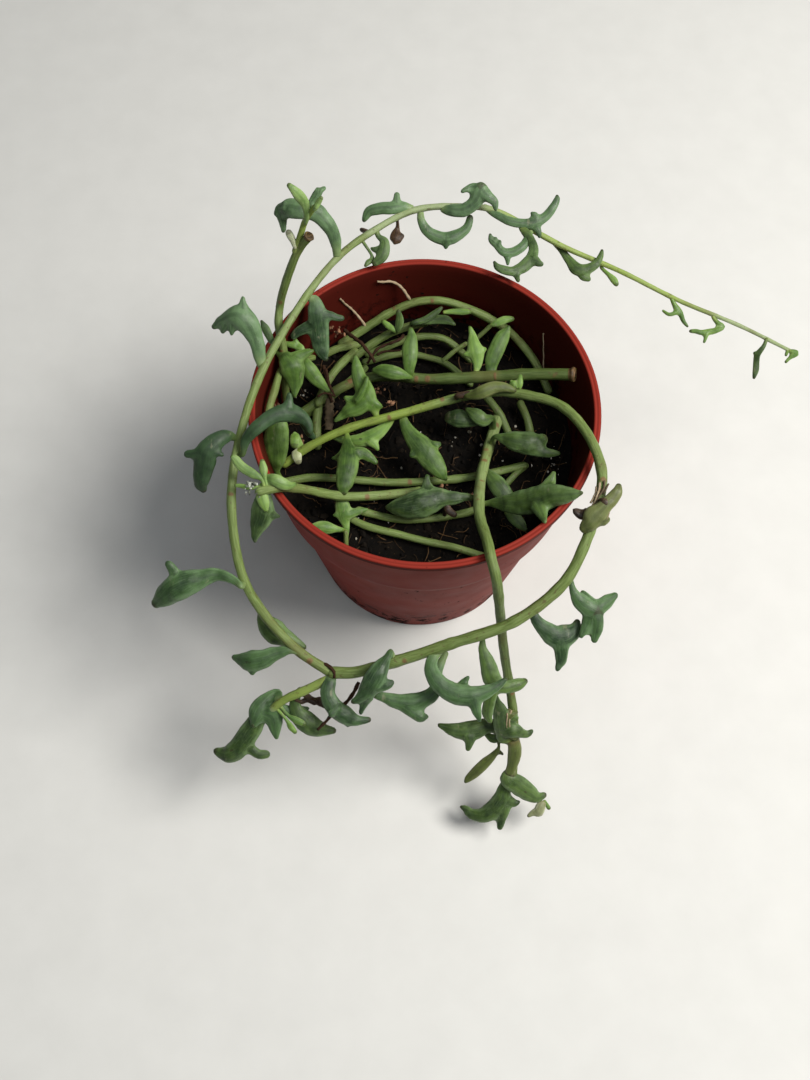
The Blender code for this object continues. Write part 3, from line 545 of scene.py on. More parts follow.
        ((35.5, 67, 112, 1.1), (34, 63.5, 112, 1.5), (30.5, 61, 111.5, 1.6), (27, 60.5, 112, 1.4),
         (24.5, 62.5, 113, 1.2), (22.5, 64, 114, 1), (22, 65.5, 115, 0.5)),
        ((28, 60.5, 111.5, 1.4), (28.5, 58.5, 110.5, 0.9), (28.5, 56.5, 110.5, 0.4)),
        ((25, 62, 113, 0.9), (25.5, 63.5, 114, 0.5)),
        ((23, 63.5, 114, 0.7), (24, 64.5, 114.5, 0.5)),)),
    Leaf("leaf_back_right", "green", (
        ((46, 70, 106, 1.1), (48.5, 67.5, 105, 1.1), (51.5, 63.5, 104, 1.6), (54.5, 60, 103.5, 2.2),
         (58, 60, 104, 1.8), (61, 61.5, 105, 1.4), (62.5, 64, 106, 1), (63, 66, 107, 0.5)),
        ((55.5, 59.5, 103, 1.6), (56.5, 57.5, 102.5, 1.3), (58.5, 57, 102, 0.9)),)),
    Leaf("leaf_back_left", "blue", (
        ((-5.5, 74.5, 117, 1.1), (-9, 74.5, 118, 1.8), (-13, 73.5, 118.5, 2.1), (-17.5, 73.5, 118, 2),
         (-21, 73, 117, 1.8), (-22.5, 71.5, 115.5, 1.2), (-23, 71, 114.5, 0.7)),
        ((-11.5, 75, 119, 1.4), (-11.5, 76.5, 120, 1.2), (-11.5, 77.5, 120.5, 1)),)),
    Leaf("leaf_back_rim", "green", (
        ((-17.5, 63.5, 115, 0.9), (-15.5, 62, 114.5, 1.4), (-15.5, 59, 113.5, 1.9),
         (-16.5, 56.5, 112.5, 1.9), (-18.5, 55, 111.5, 1.2)),
        ((-17, 59.5, 113, 1.4), (-19, 59.5, 113, 0.9), (-20, 60, 113, 0.5)),)),
    Leaf("back_rim_dark", "green", (
        ((-19.5, 57.5, 111, 0.5), (-21, 55.5, 111, 0.9), (-22, 54, 111, 0.5)),)),
    Leaf("leaf_far_first", "young", (
        ((90, 58, 91.5, 0.5), (91, 57, 91, 0.6), (92, 55.5, 90, 0.8), (93.5, 53.5, 89, 1.2),
         (94.5, 52.5, 88.5, 0.9), (95.5, 49.5, 88, 0.7), (97, 47.5, 87.5, 0.4)),
        ((93.5, 53.5, 89, 0.9), (92, 52, 89, 0.7), (90, 51.5, 89, 0.6), (88, 53, 89, 0.4)),)),
    Leaf("leaf_far_second", "young", (
        ((108, 54.5, 83.5, 0.6), (110, 53, 82, 0.8), (112, 52, 81, 0.9), (110, 50.5, 81, 0.9),
         (107.5, 50, 80.5, 1.1), (104, 49.5, 80.5, 0.9), (102, 50, 80.5, 0.8), (100, 50, 80.5, 0.6)),
        ((106, 49.5, 80.5, 0.9), (105.5, 47.5, 80, 0.6), (105, 46, 79.5, 0.4)),)),
    Leaf("leaf_far_third", "green", (
        ((130.5, 51.5, 74, 0.6), (129.5, 49, 73, 0.7), (127.5, 46.5, 71, 1.1), (127.5, 45, 69, 1.1),
         (127.5, 42, 67, 1.1), (127, 39.5, 65.5, 0.5)),
        ((127.5, 46.5, 71, 0.8), (126.5, 47, 71, 0.6)),)),
    Leaf("runner_end_a", "young", (
        ((140, 50, 69, 0.6), (139.5, 48.5, 68, 0.5)),)),
    Leaf("runner_end_b", "young", (
        ((141, 49.5, 69, 0.8), (143.5, 49, 68.5, 1), (141, 47.5, 67.5, 0.6), (139.5, 46, 67, 0.5)),)),
    Leaf("runner_bud_a", "young", (
        ((63.5, 63, 101, 0.5), (66, 60.5, 100.5, 0.7), (68, 58.5, 100, 1.2), (69, 57, 99.5, 0.9)),)),
    Leaf("leaf_inner_star", "fresh", (
        ((-16.5, 2, 95, 0.9), (-17.5, 4.5, 96.5, 1.7), (-19.5, 6.5, 98.5, 3), (-21, 9.5, 100.5, 3.1),
         (-23, 13.5, 103, 2.4), (-24, 17.5, 104.5, 1.6), (-24.5, 20, 105.5, 0.7)),
        ((-20.5, 6, 98.5, 2.8), (-23.5, 4.5, 97, 3), (-26.5, 3.5, 96, 2.3), (-28.5, 2.5, 94.5, 1.4),
         (-31, 1, 93.5, 0.7)),
        ((-23, 5.5, 98, 1.7), (-26, 6.5, 98.5, 1.4), (-27.5, 7, 99, 0.9)),
        ((-19.5, 7, 99, 2.1), (-17, 5.5, 98, 1.4), (-15, 5, 97, 0.7)),
        ((-24, 5, 100, 0.9), (-22, 7, 102, 1.1), (-20.5, 10, 104, 0.9), (-20, 12, 105, 0.5)),)),
    Leaf("leaf_centre", "fresh", (
        ((-5.5, 20, 96, 1.6), (-5.5, 23.5, 98.5, 2.5), (-5.5, 27.5, 100, 2.7), (-5, 31, 101, 1.8),
         (-5.5, 34, 102, 0.7)),)),
    Leaf("small_on_cut", "fresh", (
        ((-5.5, 18.5, 95, 0.9), (-8.5, 18.5, 96.5, 1.9), (-12, 19, 97, 2.5), (-15.5, 20, 96.5, 2.1),
         (-18, 20.5, 95.5, 0.9)),)),
    Leaf("leaf_centre_fork", "young", (
        ((18, 19.5, 97, 0.7), (18.5, 22.5, 98, 1.6), (18, 26, 99.5, 2.8), (17, 29, 101, 2.3),
         (16.5, 32, 102, 1.4), (15.5, 34.5, 103, 0.6)),
        ((17, 26, 99.5, 1.6), (14.5, 25.5, 99.5, 0.9), (13.5, 25.5, 99.5, 0.4)),
        ((19, 26.5, 99.5, 1.4), (21, 27.5, 100, 0.7)),)),
    Leaf("leaf_centre_right", "fresh", (
        ((23.5, 19, 96.5, 1.4), (23.5, 23, 98.5, 2.3), (25, 27, 100.5, 2.7), (27, 31, 102.5, 2.5),
         (28.5, 33, 104, 1.4), (29, 34, 104.5, 0.7)),)),
    Leaf("small_back_light", "young", (
        ((23, 37.5, 100, 0.5), (25.5, 38, 101, 1.2), (28, 39, 101.5, 1.3), (30.5, 39.5, 101.5, 0.9)),)),
    Leaf("small_back_flat", "young", (
        ((6, 42.5, 100, 0.5), (9.5, 43, 100, 0.9), (13, 43, 100, 1.1), (15.5, 43, 100, 0.7)),)),
    Leaf("small_crown_a", "green", (
        ((-5, 41.5, 94, 0.7), (-0.5, 42.5, 95, 1.1), (3, 44.5, 96, 1.1), (5.5, 46.5, 97, 0.5)),)),
    Leaf("small_crown_b", "green", (
        ((-2, 43, 92.5, 0.9), (3.5, 44, 93, 1.5), (7.5, 44, 93, 1.5), (10.5, 42.5, 92.5, 0.5)),)),
    Leaf("small_crown_tip_a", "green", (
        ((-10.5, 40, 91, 0.7), (-9.5, 42, 94, 1.5), (-10, 44.5, 97, 0.7)),)),
    Leaf("small_crown_tip_b", "young", (
        ((-11, 40, 91, 0.7), (-13.5, 41.5, 92, 1.1), (-15.5, 43, 92.5, 0.7)),)),
    Leaf("small_middle_a", "green", (
        ((24.5, 4.5, 91, 0.9), (21, 3, 93, 2.3), (18, 4.5, 94, 2.3), (15, 6.5, 94, 0.7)),)),
    Leaf("small_middle_b", "green", (
        ((23, 5, 89, 1.1), (16.5, 4.5, 90, 2.5), (12, 5, 90, 3.2), (9.5, 5.5, 89.5, 2.3)),)),
    Leaf("leaf_right_inner", "green", (
        ((25, -2.5, 91, 0.7), (28, -3.5, 92, 1.9), (31.5, -5, 93, 3.3), (36, -6, 93.5, 3.8),
         (39.5, -5.5, 93, 3.5), (41.5, -4, 92.5, 2.1)),
        ((35, -7, 93, 2.8), (39, -8, 92.5, 2.3), (43, -9, 92, 1.7), (47, -8.5, 91, 0.9)),)),
    Leaf("leaf_inner_star_low", "fresh", (
        ((-7.5, 4, 95, 0.9), (-7, 1, 94, 1.6), (-4.5, -3.5, 93, 2.6), (-1, -7.5, 92, 3.8),
         (2, -11, 91, 3.8), (4.5, -14, 90, 3.3), (6.5, -16.5, 89, 2.3), (8, -18, 88, 0.9)),
        ((-2, -8.5, 92, 2.4), (-4, -11, 91.5, 1), (-4, -11.5, 91, 0.5)),
        ((1.5, -8, 92, 2.1), (3.5, -7, 92, 1.6), (5.5, -6.5, 92, 0.9)),)),
    Leaf("leaf_front_wide", "green", (
        ((18.5, -26, 91, 0.7), (14.5, -26.5, 91.5, 1.4), (10, -27, 91.5, 2.4), (5.5, -27, 91, 3.6),
         (0.5, -28.5, 90.5, 4.8), (-4.5, -29.5, 89.5, 4.3), (-9, -29.5, 88.5, 2.8), (-12, -29.5, 88, 1)),
        ((2.5, -25.5, 91, 2.4), (1.5, -22.5, 92.5, 1.7), (1.5, -20, 93.5, 0.9)),)),
    Leaf("leaf_inner_hang", "fresh", (
        ((-27, -2, 91, 0.7), (-26.5, -7, 92, 1.7), (-26, -11.5, 93, 3.3), (-26, -16.5, 93.5, 3.6),
         (-26.5, -21, 93.5, 3.3), (-27, -24.5, 93, 2.4), (-27, -26, 92.5, 1.4)),
        ((-28, -12.5, 93, 2.1), (-30, -13, 92.5, 1), (-31.5, -13, 92, 0.5)),
        ((-24.5, -12, 93, 2.4), (-21.5, -11, 92.5, 2.1), (-18.5, -12.5, 92, 1.7),
         (-16.5, -14, 91.5, 0.9)),)),
    Leaf("small_under_main", "young", (
        ((-11, 2, 93.5, 0.7), (-14, -0.5, 91.5, 1.8), (-18, -3, 90, 2.5), (-22.5, -4, 88.5, 2.3),
         (-27, -3.5, 87.5, 1.6), (-31.5, -2.5, 87, 0.7)),
        ((-19, -4.5, 90, 1.8), (-17, -6, 89.5, 1.4), (-16, -7.5, 89, 0.7)),)),
    Leaf("sprout_star", "young", (
        ((-26, -37.5, 81, 0.7), (-26, -35, 82.5, 1), (-27, -32, 84, 2.1), (-27.5, -29, 86, 2.6),
         (-28, -26.5, 88, 1.7), (-28, -24, 89, 0.7)),
        ((-28, -30.5, 85, 1.4), (-29.5, -31.5, 85, 0.8), (-30.5, -31.5, 85, 0.4)),
        ((-26, -31.5, 85, 1.6), (-22.5, -30, 85, 1.3), (-19, -29, 85, 0.5)),)),
    Leaf("sprout_side", "young", (
        ((-26.5, -36, 82, 0.7), (-29, -36, 83, 1), (-32.5, -36, 84, 2.1), (-35.5, -36, 84.5, 1.9),
         (-39.5, -36.5, 85, 0.6)),)),
    Leaf("leaf_node", "dry", (
        ((14, 6, 104, 0.7), (17, 5.5, 106, 1.7), (20, 6, 107.5, 2.2), (24, 7.5, 108, 2),
         (27.5, 7.5, 108, 1.5), (30.5, 7, 107, 0.9)),)),
    Leaf("small_node_bud", "young", (
        ((30, 10.5, 107, 0.9), (31, 8.5, 106.5, 0.7)),
        ((32, 8, 106, 0.7), (32.5, 9.5, 107.5, 0.9), (32.5, 12, 108, 0.7)),)),
    Leaf("leaf_front_shark", "green", (
        ((20.5, -29, 92, 0.7), (24, -29.5, 94, 1.5), (28.5, -31, 97, 2.9), (33, -32, 100, 4),
         (38, -32.5, 104, 4.3), (42, -33, 108, 3.9), (46, -34, 111, 2.9), (49, -34.5, 113, 1.8),
         (51, -34.5, 114, 0.8)),
        ((40, -31, 107, 2.3), (42, -27.5, 108, 1.7), (43, -25, 108.5, 0.8)),
        ((38, -35, 105, 2.8), (39, -39, 107, 2), (39.5, -43, 109.5, 0.7)),)),
    Leaf("small_front_a", "green", (
        ((22, -13.5, 87, 0.9), (24, -17, 88, 2.3), (26.5, -20.5, 88, 3.1), (29, -24, 87, 2.8),
         (30.5, -26.5, 86, 1.4)),)),
    Leaf("small_front_b", "green", (
        ((29, -28.5, 86, 1), (32, -31, 85.5, 2.1), (34.5, -33.5, 85, 1.7), (36, -35, 84.5, 0.7)),)),
    Leaf("torn_leaf", "dry", (
        ((52, -45.5, 111, 1.8), (53.5, -44.5, 112.5, 2.9), (55, -42.5, 113.5, 3.4),
         (57, -41, 115, 2.7), (58.5, -39.5, 116, 2.2), (60.5, -37.5, 116.5, 2.1),
         (62, -35.5, 117.5, 1.8), (62.5, -33.5, 117.5, 1.1)),
        ((55, -42.5, 113.5, 2.2), (58, -43.5, 112.5, 1.8), (59.5, -43, 112.5, 0.8)),)),
    Leaf("torn_pit", "dead", (
        ((57, -38, 116.5, 0.6), (58, -39, 117, 1.1), (58.5, -40, 116.5, 0.6)),)),
    Leaf("dried_curl_a", "dead", (
        ((49, -39.5, 111.5, 0.6), (51, -41.5, 111, 1), (53, -41.5, 111, 0.6)),
        ((51, -41.5, 111, 0.6), (52.5, -39.5, 112, 0.5)),)),
    Leaf("dried_curl_b", "dead", (
        ((-40.5, -91.5, 60, 0.7), (-38, -90.5, 60, 0.9), (-35.5, -91.5, 60, 0.9)),)),
    Leaf("dried_curl_e", "dead", (
        ((-36, -90.5, 59, 1), (-33.5, -91, 59.5, 1.6), (-31, -92.5, 59, 1)),)),
    Leaf("dried_curl_c", "dead", (
        ((-11, 70.5, 112, 0.6), (-11.5, 68.5, 111, 1.6), (-11.5, 66, 110.5, 2),
         (-9.5, 67.5, 110.5, 0.9)),)),
    Leaf("dried_curl_f", "dead", (
        ((-24, 68, 113, 0.7), (-22, 67, 113, 0.9)),)),
    Leaf("dried_curl_d", "dead", (
        ((11, 6.5, 103, 0.9), (13, 6.5, 104, 1), (15, 7, 104.5, 0.7)),)),
    Leaf("dried_curl_g", "dead", (
        ((8, -28, 90, 0.7), (9, -30.5, 89.5, 1.2), (11, -32, 89, 1)),)),
    Leaf("cut_callus", "young", (
        ((-45.5, -1.5, 86, 1.4), (-45.5, -3.5, 87, 1.7), (-45.5, -5, 86.5, 1.5)),)),
    Leaf("cut_callus_face", "pale", (
        ((-45, -7.5, 85.5, 1.3), (-44.5, -9.5, 86, 1.7), (-44, -11, 85.5, 1.3)),)),
)

# Brown leaf scars on stems, by share of the stem's length.
SCARS = {
    "front_stem": (0.03, 0.1, 0.13, 0.19, 0.235, 0.25, 0.29, 0.31, 0.62, 0.8),
    "main_stem": (0.09, 0.16, 0.235, 0.53, 0.545, 0.56, 0.76, 0.9),
    "cut_stem": (0.22, 0.46, 0.5, 0.74, 0.95),
    "back_stem": (0.25, 0.4, 0.72),
    "low_stem": (0.2, 0.52, 0.8),
    "rim_stem": (0.3, 0.45, 0.62),
    "runner_stem": (0.02, 0.2, 0.4),
    "upright_stem": (0.35, 0.6, 0.97),
}

# White and pale grit on the soil: centre, spread and count of each patch.
GRIT_PATCHES = (
    ((46, -4), 5.5, 26),
    ((44, -22), 5.0, 22),
    ((-30, 42), 4.5, 14),
    ((-44, 18), 4.0, 10),
    ((8, -22), 9.0, 10),
    ((-20, -30), 14.0, 12),
    ((20, 0), 30.0, 22),
)

# Dried brown flakes caught between the stems, and white wool round the tip of the rim stem.
FLAKE_PATCHES = (
    ((-32, 37, 95), 2.5, 16),
    ((-38, 34, 90), 3.0, 16),
    ((-53, 9, 88), 1.5, 8),
    ((-12, 14, 84), 1.6, 14),
    ((-12, 9, 82), 1.8, 14),
    ((-43.5, -3, 85), 1.6, 7),
    ((-17, 18, 85), 2.5, 12),
    ((6, -22, 82), 5.0, 12),
    ((17, -22, 84), 2.0, 8),
)
WOOL_PATCHES = (
    ((-56, -35, 113), 2.4, 26),
    ((-53.5, -36.5, 111.5), 1.6, 8),
)


# Numbers and curves

def seeded(name):
    """A random source that is always the same for a name."""
    return random.Random(name)


def unit(vectors):
    """One vector, or each of the last axis of many, at length 1."""
    return vectors / np.maximum(np.linalg.norm(vectors, axis=-1, keepdims=True), 1e-9)


def smooth_path(points, count):
    """Count + 1 evenly spaced rows along a Catmull-Rom curve. A row is x, y, z and any further values."""
    points = np.array(points, float)
    knots = np.vstack([2 * points[0] - points[1], points, 2 * points[-1] - points[-2]])
    fine = []
    for i in range(len(points) - 1):
        a, b, c, d = knots[i:i + 4]
        for step in range(CURVE_STEPS):
            t = step / CURVE_STEPS
            fine.append(0.5 * (
                2 * b + (c - a) * t + (2 * a - 5 * b + 4 * c - d) * t * t
                + (3 * b - a - 3 * c + d) * t ** 3))
    fine.append(points[-1])
    fine = np.array(fine)
    gaps = np.linalg.norm(np.diff(fine[:, :3], axis=0), axis=1)
    travelled = np.concatenate([[0], np.cumsum(gaps)])
    wanted = np.linspace(0, travelled[-1], count + 1)
    return np.column_stack([np.interp(wanted, travelled, column) for column in fine.T])


def path_length(points):
    return float(np.linalg.norm(np.diff(np.array(points, float)[:, :3], axis=0), axis=1).sum())


def directions(points):
    """The unit direction of the path at each of its points."""
    ahead = np.vstack([points[1:], 2 * points[-1] - points[-2]])
    behind = np.vstack([2 * points[0] - points[1], points[:-1]])
    along = ahead - behind
    return along / np.linalg.norm(along, axis=1)[:, None]


def bump(value, middle, reach):
    """A soft hill of height 1 over the middle."""
    return np.exp(-((value - middle) / reach) ** 2)


def wander(x, y=0.0, z=0.0):
    """Smooth noise between about -1 and 1."""
    return noise.noise(Vector((x, y, z)))


def circle(steps):
    """Angles evenly spaced round a circle."""
    return 2 * np.pi * np.arange(steps) / steps


# Meshes

def add_object(name, data):
    obj = bpy.data.objects.new(name, data)
    bpy.context.scene.collection.objects.link(obj)
    return obj


def add_mesh(name, vertices, faces, values, look, smooth=True):
    """A mesh object from points in millimetres, with one float attribute per entry of values."""
    mesh = bpy.data.meshes.new(name)
    mesh.from_pydata([tuple(point) for point in np.asarray(vertices) * MM], [], faces)
    for key, numbers in values.items():
        attribute = mesh.attributes.new(key, "FLOAT", "POINT")
        attribute.data.foreach_set("value", np.asarray(numbers, np.float32))
    if smooth:
        mesh.shade_smooth()
    mesh.materials.append(look)
    return add_object(name, mesh)


def skin(ring_count, side_count, first=0):
    """Faces over rings of points, closed at both ends."""
    faces = []
    for ring in range(ring_count - 1):
        low = first + ring * side_count
        for i in range(side_count):
            j = (i + 1) % side_count
            faces.append((low + i, low + j, low + side_count + j, low + side_count + i))
    last = first + (ring_count - 1) * side_count
    faces.append(tuple(range(first + side_count - 1, first - 1, -1)))
    faces.append(tuple(range(last, last + side_count)))
    return faces


def gather(parts):
    """Joins (points, faces, tint) parts into one set of points, faces and tints."""
    vertices, faces, tints = [], [], []
    for points, part_faces, tint in parts:
        first = len(vertices)
        vertices += list(points)
        faces += [tuple(first + i for i in face) for face in part_faces]
        tints += [tint] * len(points)
    return vertices, faces, tints


def evaluated_mesh(obj):
    """A new mesh with the object's modifiers applied."""
    bpy.context.view_layer.update()
    return bpy.data.meshes.new_from_object(obj.evaluated_get(bpy.context.evaluated_depsgraph_get()))


def recalculate(obj):
    """Turns every face of a closed mesh outwards."""
    form = bmesh.new()
    form.from_mesh(obj.data)
    bmesh.ops.recalc_face_normals(form, faces=form.faces)
    form.to_mesh(obj.data)
    form.free()


def place_piece(obj, slot, node=None):
    """Ties a finished piece to the part's root body and hides the plain solid it stands for; the slot is not
    used.
    """
    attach(obj, "root")
    if node:
        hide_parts(node)


# Pot

def inner_radius(height):
    """Radius of the pot's inner wall above the ledge."""
    share = (height - COLLAR_FOOT) / (LIP_FOOT - COLLAR_FOOT)
    return COLLAR_FOOT_RADIUS - WALL + share * (COLLAR_TOP_RADIUS - COLLAR_FOOT_RADIUS)


def arc(centre, radius, start, end, steps):
    """Profile points round a small fillet, angles in degrees."""
    angles = np.radians(np.linspace(start, end, steps))
    return [(centre[0] + radius * math.cos(a), centre[1] + radius * math.sin(a)) for a in angles]


def straight(start, end, steps):
    """Profile points between two corners, without the corners."""
    return [tuple(np.array(start) + (np.array(end) - np.array(start)) * i / steps) for i in range(1, steps)]


def pot_inside():
    """The profile from the middle of the floor up to the lip."""
    ledge = (BODY_TOP_RADIUS - WALL, COLLAR_FOOT + 0.8)
    top = (COLLAR_TOP_RADIUS - WALL, LIP_FOOT)
    profile = [(0.0, POT_FLOOR), (BASE_RADIUS - WALL - 1, POT_FLOOR), (BASE_RADIUS - WALL, POT_FLOOR + 1)]
    profile += straight(profile[-1], ledge, 10)
    profile += [ledge, (COLLAR_FOOT_RADIUS - WALL, COLLAR_FOOT + 2)]
    profile += straight(profile[-1], top, 8)
    return profile + [top]


def pot_lip():
    """The profile over the rolled lip, from the inside to the outside."""
    inner = (COLLAR_TOP_RADIUS - LIP_INSET, POT_HEIGHT - LIP_INNER_ROUND)
    lip = arc(inner, LIP_INNER_ROUND, 170, 80, 6)
    lip += [(COLLAR_TOP_RADIUS + 0.35, POT_HEIGHT - 0.28)]
    lip += arc((RIM_RADIUS - LIP_ROUND, POT_HEIGHT - LIP_ROUND), LIP_ROUND, 100, -10, 8)
    lip += arc((RIM_RADIUS - LIP_FOOT_ROUND, LIP_FOOT + 0.6), LIP_FOOT_ROUND, 20, -80, 5)
    return lip + [(COLLAR_TOP_RADIUS, LIP_FOOT), (COLLAR_TOP_RADIUS - 0.2, LIP_FOOT - 0.9)]


def pot_outside():
    """The profile from the bead under the lip down to the middle of the base."""
    top = (COLLAR_TOP_RADIUS - LIP_INSET, LIP_FOOT - 2.0)
    collar_foot = (COLLAR_FOOT_RADIUS, COLLAR_FOOT + 0.5)
    body_top = (BODY_TOP_RADIUS, COLLAR_FOOT - 0.6)
    profile = arc((top[0] + 0.1, top[1] + 0.3), BEAD_ROUND, 60, -60, 5)
    profile += [(top[0] - 0.15, top[1] - 0.6)]
    profile += straight(profile[-1], collar_foot, 12)
    profile += [collar_foot, (COLLAR_FOOT_RADIUS - 0.5, COLLAR_FOOT), body_top]
    profile += straight(body_top, (BASE_RADIUS + 0.1, 1.2), 18)
    profile += arc((BASE_RADIUS - BASE_ROUND, BASE_ROUND), BASE_ROUND, 0, -90, 5)
    return profile + [(BASE_RADIUS - 4.5, 0.0), (BASE_RADIUS - 5.0, BASE_HOLLOW), (0.0, BASE_HOLLOW)]


def make_pot(look):
    profile = pot_inside() + pot_lip() + pot_outside()
    vertices = []
    for radius, height in profile[1:-1]:
        for angle in circle(POT_STEPS):
            warp = POT_WARP * wander(2 * math.cos(angle), 2 * math.sin(angle), height / POT_WARP_HEIGHT)
            reach = radius + warp * min(radius / RIM_RADIUS, 1)
            vertices.append((reach * math.cos(angle), reach * math.sin(angle), height))
    faces = skin(len(profile) - 2, POT_STEPS)[:-2]
    last_ring = (len(profile) - 3) * POT_STEPS
    for height, first, flip in ((profile[0][1], 0, False), (profile[-1][1], last_ring, True)):
        vertices.append((0, 0, height))
        hub = len(vertices) - 1
        for step in range(POT_STEPS):
            edge = (first + step, first + (step + 1) % POT_STEPS)
            faces.append((hub, *edge) if flip else (hub, *edge[::-1]))
    turn = profile.index(max(profile))
    inside = np.repeat([float(row < turn) for row in range(1, len(profile) - 1)], POT_STEPS)
    pot = add_mesh("pot_shell", vertices, faces, {"inside": [*inside, 1.0, 0.0]}, look)
    recalculate(pot)
    drill(pot)
    return pot


def drill(pot):
    """Cuts the drain holes through the floor."""
    form = bmesh.new()
    for i in range(DRAIN_COUNT):
        angle = 2 * math.pi * (i + 0.5) / DRAIN_COUNT
        centre = Vector((math.cos(angle), math.sin(angle), 0)) * DRAIN_RING_RADIUS * MM
        bmesh.ops.create_cone(
            form, cap_ends=True, segments=DRAIN_SIDES, radius1=DRAIN_RADIUS * MM,
            radius2=DRAIN_RADIUS * MM, depth=4 * POT_FLOOR * MM, matrix=Matrix.Translation(centre))
    mesh = bpy.data.meshes.new("drill")
    form.to_mesh(mesh)
    form.free()
    cutter = add_object("drill", mesh)
    cut = pot.modifiers.new("drain_holes", "BOOLEAN")
    cut.object = cutter
    cut.solver = "EXACT"
    drilled = evaluated_mesh(pot)
    pot.modifiers.clear()
    pot.data = drilled
    bpy.data.objects.remove(cutter)


# Soil and what lies on it

def soil_height(x, y):
    """The soil's surface: broad unevenness, lumps and fine crumbs."""
    rough = sum(weight * wander(x / width, y / width, layer) for weight, width, layer in SOIL_LAYERS)
    return SOIL_TOP + SOIL_ROUGHNESS * rough


def soil_edge_rise(x, y, share):
    """How far the soil is pushed up near the wall."""
    nearness = max(0, (share - SOIL_EDGE_START) / SOIL_EDGE_WIDTH)
    return SOIL_EDGE_RISE * nearness * (0.5 + wander(x / SOIL_EDGE_LUMP, y / SOIL_EDGE_LUMP, 30.0))


def make_soil(look):
    edge = inner_radius(SOIL_TOP) - GAP
    vertices = [(0, 0, soil_height(0, 0))]
    for ring in range(1, SOIL_RINGS + 1):
        radius = edge * (ring / SOIL_RINGS) ** SOIL_RING_POWER
        for step in range(SOIL_STEPS):
            angle = 2 * math.pi * (step + 0.5 * (ring % 2)) / SOIL_STEPS
            x, y = radius * math.cos(angle), radius * math.sin(angle)
            height = soil_height(x, y) + soil_edge_rise(x, y, radius / edge) - SOIL_SINK
            vertices.append((x, y, height))
    faces = [(0, 1 + i, 1 + (i + 1) % SOIL_STEPS) for i in range(SOIL_STEPS)]
    below = (
        (edge - 1.5, 76.0),
        (BODY_TOP_RADIUS - WALL - 1, COLLAR_FOOT - 1),
        (BASE_RADIUS - WALL - 1, POT_FLOOR + GAP),
    )
    for radius, height in below:
        for step in range(SOIL_STEPS):
            angle = 2 * math.pi * (step + 0.5 * (SOIL_RINGS % 2)) / SOIL_STEPS
            vertices.append((radius * math.cos(angle), radius * math.sin(angle), height))
    for ring in range(SOIL_RINGS + len(below) - 1):
        low = 1 + ring * SOIL_STEPS
        for i in range(SOIL_STEPS):
            j = (i + 1) % SOIL_STEPS
            faces.append((low + i, low + SOIL_STEPS + i, low + SOIL_STEPS + j, low + j))
    faces.append(tuple(range(len(vertices) - 1, len(vertices) - 1 - SOIL_STEPS, -1)))
    return add_mesh("soil_bed", vertices, faces, {}, look)


def spread_on_soil(chance):
    """A place on the soil surface, evenly spread."""
    radius = (inner_radius(SOIL_TOP) - GAP) * SPREAD_REACH * math.sqrt(chance.random())
    angle = chance.uniform(0, 2 * math.pi)
    x, y = radius * math.cos(angle), radius * math.sin(angle)
    return x, y, soil_height(x, y) - SOIL_SINK


def lump(centre, size, chance):
    """Points and faces of one rough crumb."""
    form = bmesh.new()
    bmesh.ops.create_icosphere(form, subdivisions=1, radius=1.0)
    stretch = np.array([chance.uniform(*LUMP_STRETCH) for _ in range(3)]) * size
    shift = chance.uniform(0, 100)
    points = []
    for vertex in form.verts:
        place = np.array(vertex.co)
        rough = 1 + LUMP_ROUGHNESS * wander(*(place * LUMP_DENTS + shift))
        points.append(np.array(centre) + place * stretch * rough)
    faces = [tuple(vertex.index for vertex in face.verts) for face in form.faces]
    form.free()
    return points, faces


def crumb_places(chance):
    """Places and sizes of crumbs, evenly spread over the soil."""
    for _ in range(CRUMB_COUNT):
        x, y, z = spread_on_soil(chance)
        size = chance.choice(CRUMB_SIZES)
        yield (x, y, z + CRUMB_RISE * size), size


def patch_places(chance, patches, sizes):
    """Places and sizes of lumps in patches. A patch that has only an x and y lies on the soil."""
    for centre, spread, count in patches:
        for _ in range(count):
            place = [chance.gauss(value, spread / 2) for value in centre]
            if len(place) == 2:
                if math.hypot(*place) > inner_radius(SOIL_TOP) - GRIT_CLEARANCE:
                    continue
                place.append(soil_height(*place) - GRIT_SINK)
            yield place, chance.uniform(*sizes)


def make_lumps(name, chance, places, look):
    """One piece of many rough lumps, each with a shade of its own."""
    parts = [(*lump(place, size, chance), chance.random()) for place, size in places]
    vertices, faces, tints = gather(parts)
    return add_mesh(name, vertices, faces, {"tint": tints}, look, smooth=False)


def make_patches(name, seed, patches, sizes, look):
    chance = seeded(seed)
    return make_lumps(name, chance, patch_places(chance, patches, sizes), look)


def make_crumbs(look):
    chance = seeded("crumbs")
    return make_lumps("soil_crumbs", chance, crumb_places(chance), look)


def tube_points(centres, radii, sides):
    """Rings of points round a path, carried along it without twisting."""
    along = directions(centres)
    side = unit(np.cross(along[0], (0.3, 0.2, 1.0)))
    turns = circle(sides)
    rings = []
    for centre, ahead, radius in zip(centres, along, radii):
        side = unit(side - side.dot(ahead) * ahead)
        other = np.cross(ahead, side)
        ring = centre + radius * (np.cos(turns)[:, None] * side + np.sin(turns)[:, None] * other)
        rings.append(ring)
    return np.array(rings)


